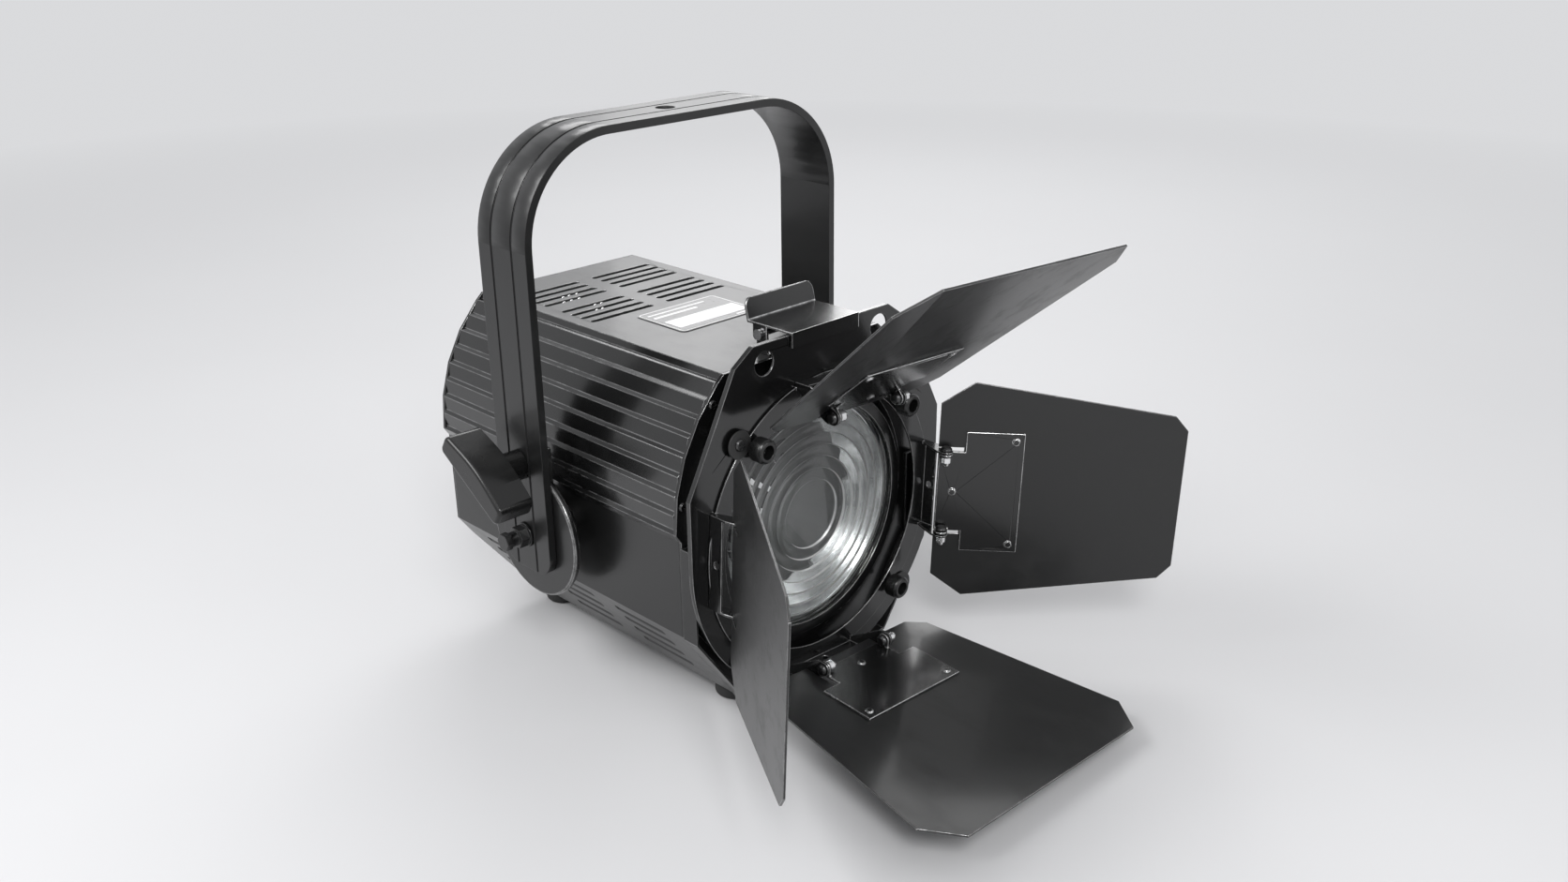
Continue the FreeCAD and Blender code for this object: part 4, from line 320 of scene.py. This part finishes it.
def printed_lacquer(name, shade, gloss):
    """Screen-printed ink with a little wear."""
    finish = Finish(name, Metallic=0.0, Coat_Weight=0.4, Coat_Roughness=0.1)
    wear = finish.ramp(finish.noise(4 * MM, detail=5, roughness=0.7), 0.56, 0.72)
    finish.feed("Base Color", finish.blend(wear * 0.4, grey(shade), grey(shade * 0.55 + 0.02)))
    finish.feed("Roughness", wear * 0.2 + gloss)
    return finish.material


knob_black = moulded("knob_black", 0.005, 0.20, 0.9 * MM, 0.01 * MM)
nylon_black = moulded("nylon_black", 0.012, 0.42, 1.2 * MM, 0.02 * MM)
rubber_black = moulded("rubber_black", 0.018, 0.66, 1.6 * MM, 0.06 * MM)
lens_glass = pressed_glass("lens_glass")
riser_glass = frosted_glass("riser_glass")
green_board = solder_mask("green_board", (0.01, 0.09, 0.035, 1), (0.02, 0.15, 0.06, 1))
grey_board = solder_mask("grey_board", (0.16, 0.16, 0.155, 1), (0.2, 0.2, 0.195, 1))
display_window = moulded("display_window", 0.006, 0.08, 10 * MM, 0.002 * MM)
label_field = printed_lacquer("label_field", 0.045, 0.3)
label_ink = printed_lacquer("label_ink", 0.72, 0.34)
emitter_pale = printed_lacquer("emitter_pale", 0.28, 0.55)
print(len(bpy.data.materials), "finishes so far")

# %% [markdown]
# ## Dressing the CAD nodes
# A CAD node keeps its shape and gets a finish. Its edges are knife sharp, which no folded or cast part is,
# so a Weld joins its loose triangles and a narrow Bevel rounds the edges enough to catch a highlight. On
# painted sheet the bevel's own faces take the second finish in the node's list, a painted edge highlight. The
# rear panel's small holes lie close together, and thin triangles between them would shade as dark streaks.
# There a planar Decimate first makes the flat face whole again, and the bevels are clamped where they would
# meet.

# %% Finishes for the CAD nodes
SOFT_EDGE = 0.35 * MM
FINE_EDGE = 0.12 * MM
SCREW_EDGE = 0.2 * MM
YOKE_EDGE = 0.3 * MM
ROLLED_EDGE = 0.45 * MM
PLATE_EDGE = 0.5 * MM
DISC_EDGE = 0.6 * MM
WELD_REACH = 0.01 * MM
SHARP_ANGLE = math.radians(32)
FLAT_ANGLE = math.radians(0.3)


def dress(material, names, edge=SOFT_EDGE, edge_finish=None, close_holes=False):
    """Gives CAD nodes a finish and narrow rounded edges, which may have a finish of their own."""
    for name in names:
        node = nodes[name]
        node.data.materials.clear()
        node.data.materials.append(material)
        if not edge:
            continue
        # The second finish, when there is one, paints a highlight onto the bevel's faces.
        if edge_finish:
            node.data.materials.append(edge_finish)
        weld = node.modifiers.new("weld", "WELD")
        weld.merge_threshold = WELD_REACH
        if close_holes:
            flats = node.modifiers.new("flats", "DECIMATE")
            flats.decimate_type = "DISSOLVE"
            flats.angle_limit = FLAT_ANGLE
        bevel = node.modifiers.new("edges", "BEVEL")
        bevel.width = edge
        bevel.segments = 2
        bevel.limit_method = "ANGLE"
        bevel.angle_limit = SHARP_ANGLE
        bevel.harden_normals = True
        bevel.use_clamp_overlap = close_holes
        bevel.material = 1 if edge_finish else -1


LEAVES = ("top", "right", "bottom", "left")
SIDES = ("left", "right")
dress(housing_black, ["bottom_tray"], FINE_EDGE)
# The lighter edge finishes given below paint highlights onto the bevels of these nodes.
dress(housing_black, ["accessory_frame", "safety_eye"], SOFT_EDGE, painted_edge_sheen)
dress(housing_black, ["rear_panel"], SOFT_EDGE, painted_edge_sheen, close_holes=True)
dress(rib_black, ["left_side_profile", "right_side_profile", "front_bezel"], SOFT_EDGE, painted_edge_sheen)
dress(latch_black, ["latch_clip"], PLATE_EDGE, painted_edge_highlight)
dress(latch_black, ["latch_bracket", "clamp_jaws"], SOFT_EDGE, painted_edge_sheen)
dress(cover_grey, ["top_cover"], SOFT_EDGE, painted_edge_sheen)
dress(rib_black, ["barndoor_plate", "barndoor_ring", "lens_ring"], ROLLED_EDGE, painted_edge_sheen)
dress(door_black, ["leaf_" + side for side in LEAVES], SOFT_EDGE, painted_edge_sheen)
dress(rib_black, ["hinge_plate_" + side for side in LEAVES], PLATE_EDGE, painted_edge_highlight)
dress(yoke_black, ["yoke"], YOKE_EDGE)
dress(yoke_black, ["tilt_discs"], DISC_EDGE, painted_edge_sheen)
dress(knob_black, ["clamp_knob_" + side for side in SIDES] + ["turning_knobs", "focus_knob", "power_inlet"])
dress(knob_black, ["data_in_socket", "data_out_socket", "fan_frame", "fan_rotor"], 0)
dress(knob_black, ["menu_button_%d" % (number + 1) for number in range(4)])
dress(nylon_black, ["ring_guides"])
dress(bright_steel, ["hinge_nuts", "latch_pin", "latch_spring", "guide_rods", "focus_screw"], 0)
dress(dark_steel, ["hinge_bolts", "guide_screws", "housing_screws"], SCREW_EDGE)
dress(yoke_black, ["pivot_bolts"])
dress(dull_aluminium, ["lens_tube", "heatsink", "led_carriage", "power_supply"], 0)
dress(dull_aluminium, ["front_bulkhead", "rear_bulkhead"], 0)
dress(rubber_black, ["rubber_feet", "lens_gasket"])
dress(green_board, ["driver_board", "button_board"], 0)
dress(grey_board, ["led_board"], 0)
dress(display_window, ["menu_display"])
undressed = [name for name, node in nodes.items() if not node.data.materials]
print(len(nodes), "CAD nodes dressed; made anew below:", undressed)

# %% [markdown]
# ## Closing a mesh
# Each new piece is shaped as a bmesh and then closed in the same way: doubles are merged, the faces are
# turned outwards, and every face is shaded smooth except across its sharp edges. The piece stays at the
# origin, with its place in its mesh, and rides on the body that carries it.

# %% Close a piece
DOUBLE = 0.002 * MM


def add_object(name, data):
    """A new object in the scene, for a mesh, a light or a camera."""
    made = bpy.data.objects.new(name, data)
    bpy.context.scene.collection.objects.link(made)
    return made


def closed_piece(name, shape, materials, body, sharp=30):
    """Turns a bmesh into an object that rides on a CAD body."""
    bmesh.ops.remove_doubles(shape, verts=shape.verts, dist=DOUBLE)
    bmesh.ops.recalc_face_normals(shape, faces=shape.faces)
    limit = math.radians(sharp)
    for face in shape.faces:
        face.smooth = True
    for edge in shape.edges:
        edge.smooth = edge.calc_face_angle(0) < limit
    mesh = bpy.data.meshes.new(name)
    shape.to_mesh(mesh)
    shape.free()
    for material in materials:
        mesh.materials.append(material)
    piece = add_object(name, mesh)
    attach(piece, body)
    print(name, "has", len(mesh.polygons), "faces and rides on", body)
    return piece


# %% [markdown]
# ## The stepped lens
# A stepped lens is a thick lens cut into rings and laid flat: each ring keeps its slope and the glass
# between is left out. The CAD has the steps, but its facets are flat cones made of many small triangles,
# which break up a refraction. Here one fine profile, with each ring slightly domed, is spun round the beam
# axis, which gives even faces and clean highlights. The short walls between the rings get a frosted glass of
# their own, so that the rings show against a bright and a dark ground alike.

# %% Spin the lens
lens_low, lens_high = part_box("fresnel_lens")
BEAM_HEIGHT = (lens_low[2] + lens_high[2]) / 2
LENS_RADIUS = (lens_high[0] - lens_low[0]) / 2
LENS_FLAT = 8.3 * MM
LENS_CORE = 23.5 * MM
LENS_TEETH = 6
TOOTH = 1.5 * MM
DRAFT = 0.5 * MM
RING_STEPS = 5
RING_DOME = 0.2 * MM
CORE_STEPS = 8
LENS_SEGMENTS = 180
LENS_SHARP = 24
RISER_LEAN = 0.5


def spun(profile, segments):
    """A bmesh spun round the beam axis from points given as distances from the axis and places along it."""
    shape = bmesh.new()
    axis = Vector((0, 0, BEAM_HEIGHT))
    corners = [shape.verts.new(axis + Vector((out, along, 0))) for out, along in profile]
    runs = [shape.edges.new(pair) for pair in zip(corners, corners[1:])]
    bmesh.ops.spin(shape, geom=corners + runs, cent=axis, axis=(0, 1, 0), angle=math.tau,
                   steps=segments, use_merge=True)
    return shape


def lens_profile():
    """Points of the lens from the middle of its back round to the middle of its front."""
    front, back = lens_low[1], lens_high[1]
    step = (LENS_RADIUS - LENS_FLAT - LENS_CORE) / LENS_TEETH
    points = [(0, back), (LENS_RADIUS, back), (LENS_RADIUS, front), (LENS_CORE + step * LENS_TEETH, front)]
    for ring in range(LENS_TEETH, 0, -1):
        outer = LENS_CORE + step * ring
        for part in range(RING_STEPS + 1):
            share = part / RING_STEPS
            swell = RING_DOME * math.sin(math.pi * share)
            points.append((outer - (step - DRAFT) * share, front + TOOTH * (1 - share) - swell))
    for part in range(CORE_STEPS):
        share = 1 - part / CORE_STEPS
        points.append((LENS_CORE * share, front + TOOTH * share * share))
    points.append((0, front))
    return points


def stepped_lens():
    """The lens as one spun profile, with the steep walls between its rings frosted."""
    shape = spun(lens_profile(), LENS_SEGMENTS)
    shape.normal_update()
    for face in shape.faces:
        middle = face.calc_center_median()
        out = math.hypot(middle.x, middle.z - BEAM_HEIGHT)
        if abs(face.normal.y) < RISER_LEAN and out < LENS_RADIUS - LENS_FLAT:
            face.material_index = 1
    lens = closed_piece("stepped_lens", shape, [lens_glass, riser_glass], "housing", sharp=LENS_SHARP)
    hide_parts("fresnel_lens")
    return lens


stepped_lens()

# %% [markdown]
# ## The reflector bowl
# The bright crescent behind the glass is a satin bowl that narrows from the lens to the light source: its
# far side faces the lamp that lights it, and its near side lies in shade. It is spun from thin sheet, so it
# is made the same way here: a curved profile goes round the beam axis, and Solidify gives its thickness.

# %% Spin the reflector
TUBE_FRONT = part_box("lens_tube")[0][1]
BOWL_MOUTH = 75 * MM
BOWL_THROAT = 54 * MM
BOWL_SHEET = 0.6 * MM
BOWL_DEPTH = 22 * MM
BOWL_FRONT = TUBE_FRONT + BOWL_SHEET
BOWL_BACK = BOWL_FRONT + BOWL_DEPTH
BOWL_STEPS = 26
BOWL_SEGMENTS = 120
BOWL_CURVE = 1.04


def reflector_bowl():
    """A satin bowl, open at its throat."""
    profile = []
    for part in range(BOWL_STEPS + 1):
        share = part / BOWL_STEPS
        out = BOWL_THROAT + (BOWL_MOUTH - BOWL_THROAT) * share ** BOWL_CURVE
        profile.append((out, BOWL_BACK + (BOWL_FRONT - BOWL_BACK) * share))
    bowl = closed_piece("reflector_bowl", spun(profile, BOWL_SEGMENTS), [satin_bowl], "housing")
    sheet = bowl.modifiers.new("sheet", "SOLIDIFY")
    sheet.thickness = BOWL_SHEET
    sheet.offset = 0
    return bowl


reflector_bowl()

# %% [markdown]
# ## Plates and domes
# The small fittings below are made of two shapes. A rounded plate is a grid of one face, whose corners are
# rounded by a vertex bevel, and which is then raised to its thickness. A dome is a sphere flattened to a
# share of its height. Both are added to a fitting's bmesh together with the number of their finish.

# %% Make plates and domes
CORNER_STEPS = 5


def set_finish(corners, material):
    """Gives the faces round some corners one of their piece's finishes, by its number."""
    for face in {face for corner in corners for face in corner.link_faces}:
        face.material_index = material


def rounded_plate(shape, low, high, base, thickness, corner, material=0):
    """Adds a flat plate with rounded corners to a bmesh: its corners in X and Y, and its height."""
    sheet = bmesh.ops.create_grid(shape, x_segments=1, y_segments=1, size=0.5)["verts"]
    span = (high[0] - low[0], high[1] - low[1], 1)
    bmesh.ops.scale(shape, vec=span, verts=sheet)
    middle = ((low[0] + high[0]) / 2, (low[1] + high[1]) / 2, base)
    bmesh.ops.translate(shape, vec=middle, verts=sheet)
    lower = bmesh.ops.bevel(shape, geom=sheet, offset=corner, segments=CORNER_STEPS, profile=0.5,
                            affect="VERTICES", material=-1)["verts"]
    face = lower[0].link_faces[0]
    raised = bmesh.ops.extrude_face_region(shape, geom=[face], use_keep_orig=True)["geom"]
    upper = [part for part in raised if isinstance(part, bmesh.types.BMVert)]
    bmesh.ops.translate(shape, vec=(0, 0, thickness), verts=upper)
    set_finish(lower + upper, material)


def dome(shape, middle, radius, rise, segments, material):
    """Adds a sphere to a bmesh, flattened to a share of its height, and returns its corners."""
    around, upwards = segments
    ball = bmesh.ops.create_uvsphere(shape, u_segments=around, v_segments=upwards, radius=radius)["verts"]
    bmesh.ops.scale(shape, vec=(1, 1, rise), verts=ball)
    bmesh.ops.translate(shape, vec=middle, verts=ball)
    set_finish(ball, material)
    return ball


# %% [markdown]
# ## The rating label
# A thin anodised plate sits in front of the vents on the cover. Here it is left bare: a dark field, a pale
# border line and four blank pale panels. Inks are printed one over the other, so the border line is a pale
# plate that shows round a slightly smaller dark one.

# %% Lay the label on the cover
COVER_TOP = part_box("top_cover")[1][2]
LABEL_LOW = (-32.5 * MM, -48 * MM)
LABEL_HIGH = (37 * MM, 1.5 * MM)
LABEL_THICK = 0.5 * MM
LABEL_CORNER = 4 * MM
BORDER_OUTSIDE = 1.2 * MM
BORDER_OUTSIDE_CORNER = 3 * MM
BORDER_INSIDE = 2.0 * MM
BORDER_INSIDE_CORNER = 2.4 * MM
INK = 0.06 * MM
PANELS = (
    ((-28 * MM, -40 * MM), (33 * MM, -23 * MM), 1.5 * MM),
    ((-28 * MM, -14.5 * MM), (10 * MM, -11.5 * MM), 1.2 * MM),
    ((-28 * MM, -7.5 * MM), (22 * MM, -5.5 * MM), 0.8 * MM),
    ((18 * MM, -45 * MM), (33 * MM, -43 * MM), 0.8 * MM),
)


def inset(amount):
    """The label's corners, moved inwards."""
    return tuple(side + amount for side in LABEL_LOW), tuple(side - amount for side in LABEL_HIGH)


def cover_label():
    """Dark plate with a pale border line and blank pale panels."""
    shape = bmesh.new()
    rounded_plate(shape, LABEL_LOW, LABEL_HIGH, COVER_TOP, LABEL_THICK, LABEL_CORNER)
    printed = COVER_TOP + LABEL_THICK
    rounded_plate(shape, *inset(BORDER_OUTSIDE), printed, INK, BORDER_OUTSIDE_CORNER, material=1)
    rounded_plate(shape, *inset(BORDER_INSIDE), printed + INK, INK, BORDER_INSIDE_CORNER)
    for low, high, corner in PANELS:
        rounded_plate(shape, low, high, printed + 2 * INK, INK, corner, material=1)
    label = closed_piece("cover_label", shape, [label_field, label_ink], "housing")
    return label


cover_label()

# %% [markdown]
# ## Pins in the vents
# In the left-hand slots of the cover small bright points show. They are the tips of pins that stand on a
# strip under the cover and reach up into the slots, just below its surface. The strip is one bent sheet,
# whose two ends rise to the underside of the cover. Each pin is a short rod with a domed tip.

# %% Hang the pin strip under the cover
COVER_SHEET = 1.6 * MM
STRIP_DROP = 5.0 * MM
STRIP_SHEET = 1 * MM
STRIP_CORNER = 1 * MM
STRIP_LOW = (-47 * MM, 28 * MM)
STRIP_HIGH = (-20 * MM, 84 * MM)
END_SHEET = 1.2 * MM
END_INSET = 4 * MM
END_SINK = 0.5 * MM
END_CORNER = 0.3 * MM
COVER_SINK = 0.05 * MM
PIN_RADIUS = 1.15 * MM
PIN_TIP_DROP = 0.2 * MM
PIN_RIM_REACH = 0.01 * MM
PIN_SEGMENTS = (16, 10)
PIN_PLACES = ((-36.2, 76.6), (-30.9, 76.6), (-24.2, 76.6), (-43.2, 66.1), (-36.8, 66.1), (-30.1, 66.1),
              (-31.8, 45.9), (-26.2, 45.9), (-38.4, 35.4), (-33.4, 35.4))


def pin(shape, across, along, low, high, material):
    """Adds a rod with a domed tip to a bmesh: a small sphere whose lower half is drawn down."""
    rim = high - PIN_RADIUS
    for corner in dome(shape, (across, along, rim), PIN_RADIUS, 1, PIN_SEGMENTS, material):
        if corner.co.z < rim - PIN_RIM_REACH:
            corner.co.z += low - rim


def pin_strip():
    """A strip hung under the cover with bright pins that reach into the slots."""
    shape = bmesh.new()
    ceiling = COVER_TOP - COVER_SHEET
    floor = ceiling - STRIP_DROP
    rounded_plate(shape, STRIP_LOW, STRIP_HIGH, floor - STRIP_SHEET, STRIP_SHEET, STRIP_CORNER)
    left, right = STRIP_LOW[0] + END_INSET, STRIP_HIGH[0] - END_INSET
    for front in (STRIP_LOW[1], STRIP_HIGH[1] - END_SHEET):
        rounded_plate(shape, (left, front), (right, front + END_SHEET), floor - END_SINK,
                      END_SINK + STRIP_DROP + COVER_SINK, END_CORNER)
    for across, along in PIN_PLACES:
        pin(shape, across * MM, along * MM, floor, COVER_TOP - PIN_TIP_DROP, 1)
    strip = closed_piece("pin_strip", shape, [nylon_black, bright_steel], "housing")
    return strip


pin_strip()

# %% [markdown]
# ## The light source
# Behind the lens, on its board, sits one large light source: a ceramic square with a round pale window and
# a screw at each corner. Unlit, it shows through the middle of the lens as an even grey.

# %% Mount the light source
board_low, board_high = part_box("led_board")
SOURCE_HALF = 19 * MM
SOURCE_THICK = 1.4 * MM
SOURCE_CORNER = 2.5 * MM
WINDOW_RADIUS = 14 * MM
WINDOW_RISE = 0.09
WINDOW_SINK = 0.1 * MM
WINDOW_SEGMENTS = (40, 16)
HEAD_RADIUS = 2.3 * MM
HEAD_RISE = 0.6
HEAD_OFFSET = 15 * MM
HEAD_SEGMENTS = (18, 8)


def light_source():
    """A rounded ceramic square, a domed round window and four screws, turned to face the lens."""
    shape = bmesh.new()
    rounded_plate(shape, (-SOURCE_HALF, -SOURCE_HALF), (SOURCE_HALF, SOURCE_HALF), 0, SOURCE_THICK,
                  SOURCE_CORNER)
    dome(shape, (0, 0, SOURCE_THICK - WINDOW_SINK), WINDOW_RADIUS, WINDOW_RISE, WINDOW_SEGMENTS, 1)
    for across in (-HEAD_OFFSET, HEAD_OFFSET):
        for along in (-HEAD_OFFSET, HEAD_OFFSET):
            dome(shape, (across, along, SOURCE_THICK), HEAD_RADIUS, HEAD_RISE, HEAD_SEGMENTS, 2)
    forwards = Matrix.Rotation(math.radians(90), 3, "X")
    bmesh.ops.rotate(shape, cent=(0, 0, 0), matrix=forwards, verts=shape.verts)
    bmesh.ops.translate(shape, vec=(0, board_low[1], (board_low[2] + board_high[2]) / 2), verts=shape.verts)
    source = closed_piece("light_source", shape, [grey_board, emitter_pale, bright_steel], "carriage")
    return source


light_source()

# %% [markdown]
# ## Floor and backdrop
# A studio sweep is one pale sheet that curves up behind the object, so that no line shows where the floor
# ends. Here a flat floor does the same: away from the lamp its paint gives way to the backdrop's own colour.
# Only the eye sees that colour, straight, in a mirror or through glass. For the light that falls on the
# lamp the surround is weaker, so that black stays black.

# %% Floor and backdrop
FLOOR_REACH = 30.0
FLOOR_MOTTLE = 0.4
FLOOR_FADE = (0.45, 2.4)
FLOOR_SHADES = ((0.60, 0.60, 0.61, 1), (0.64, 0.64, 0.65, 1))
PALE = (0.70, 0.705, 0.72, 1)
SURROUND_LIGHT = 0.55


def pale_to_the_eye(finish):
    """1 for the rays that look at a surface, straight, in a mirror or through glass, and 0 for the rest."""
    seen = [finish.node("ShaderNodeLightPath", {}, {}, "Is %s Ray" % kind)
            for kind in ("Camera", "Glossy", "Transmission")]
    return seen[0].largest(seen[1]).largest(seen[2])


def studio_floor():
    """A wide pale floor that turns into the backdrop far from the lamp, with no line between them."""
    shape = bmesh.new()
    bmesh.ops.create_grid(shape, x_segments=2, y_segments=2, size=FLOOR_REACH)
    mesh = bpy.data.meshes.new("floor")
    shape.to_mesh(mesh)
    shape.free()
    floor = add_object("floor", mesh)
    finish = Finish("floor_paint", Metallic=0.0)
    mottle = finish.noise(FLOOR_MOTTLE, detail=4)
    finish.feed("Base Color", finish.blend(mottle, *FLOOR_SHADES))
    finish.feed("Roughness", mottle * 0.1 + 0.6)
    away = finish.ramp(finish.distance(), *FLOOR_FADE)
    finish.mix_with(away * pale_to_the_eye(finish), "ShaderNodeEmission", {"Color": PALE})
    mesh.materials.append(finish.material)
    return floor


def studio_world():
    """An even surround: soft on the lamp, and the backdrop's pale colour to the eye."""
    world = bpy.data.worlds.new("studio")
    bpy.context.scene.world = world
    soft = Surround(world, Color=PALE, Strength=SURROUND_LIGHT)
    soft.mix_with(pale_to_the_eye(soft), "ShaderNodeBackground", {"Color": PALE, "Strength": 1.0})


studio_floor()
studio_world()
print("the floor reaches", FLOOR_REACH, "metres each way")

# %% [markdown]
# ## Lights
# What the eye reads as the form of a black object is the reflections of the lights, so they stand where each
# lays its reflection on one group of surfaces: the key on the left side, the rim and the low light behind it
# on the flat tops, the side light along the ribs, and the fill in front on the leaves. One small accent light
# shines through the lens on the bowl behind it.

# %% Lights
AIM = Vector((0.0, -0.05, 0.17))


def soft_light(name, place, size, power):
    """A soft light aimed at the lamp: its place, its width and height, and its watts."""
    light = bpy.data.lights.new(name, "AREA")
    light.shape = "RECTANGLE"
    light.size, light.size_y = size
    light.energy = power
    holder = add_object(name, light)
    holder.location = place
    holder.rotation_euler = (AIM - Vector(place)).to_track_quat("-Z", "Y").to_euler()


soft_light("key", (-1.3, 0.4, 1.5), (1.2, 0.9), 24)
soft_light("fill", (0.6, -2.0, 0.9), (1.4, 1.0), 10)
soft_light("rim", (1.25, 1.35, 1.5), (1.2, 0.8), 11)
soft_light("low_back", (1.3, 1.35, 0.9), (0.5, 0.4), 1.1)
soft_light("side", (1.7, 0.8, 1.2), (1.0, 0.8), 9)
soft_light("accent", (-0.85, -1.25, 1.3), (0.55, 0.55), 16)
print("lights:", [light.name for light in bpy.data.lights])

# %% [markdown]
# ## Camera
# The camera stands where the photograph's did, a little above the lamp and to its front left. Its direction
# comes from an azimuth, an elevation and a roll, the three turns of a camera on its tripod.

# %% Camera
CAMERA_PLACE = Vector((-607.0, -721.0, 522.8)) * MM
CAMERA_AZIMUTH = math.radians(-44.634)
CAMERA_ELEVATION = math.radians(22.359)
CAMERA_ROLL = math.radians(-0.639)
FOCAL_LENGTH = 32.84
CLIP_START = 10 * MM


def photo_camera():
    """The camera that took the photograph: its place, direction, roll and focal length."""
    level = math.cos(CAMERA_ELEVATION)
    back = Vector((math.sin(CAMERA_AZIMUTH) * level, -math.cos(CAMERA_AZIMUTH) * level,
                   math.sin(CAMERA_ELEVATION)))
    right = Vector((math.cos(CAMERA_AZIMUTH), math.sin(CAMERA_AZIMUTH), 0))
    up = back.cross(right)
    rolled_right = right * math.cos(CAMERA_ROLL) + up * math.sin(CAMERA_ROLL)
    rolled_up = up * math.cos(CAMERA_ROLL) - right * math.sin(CAMERA_ROLL)
    camera = add_object("camera", bpy.data.cameras.new("camera"))
    camera.data.lens = FOCAL_LENGTH
    camera.data.clip_start = CLIP_START
    turn = Matrix((rolled_right, rolled_up, back)).transposed()
    camera.matrix_world = Matrix.Translation(CAMERA_PLACE) @ turn.to_4x4()
    bpy.context.scene.camera = camera


photo_camera()
bpy.context.scene.view_settings.view_transform = "Standard"
print("the camera stands", round((CAMERA_PLACE - AIM).length, 3), "metres from the lamp")
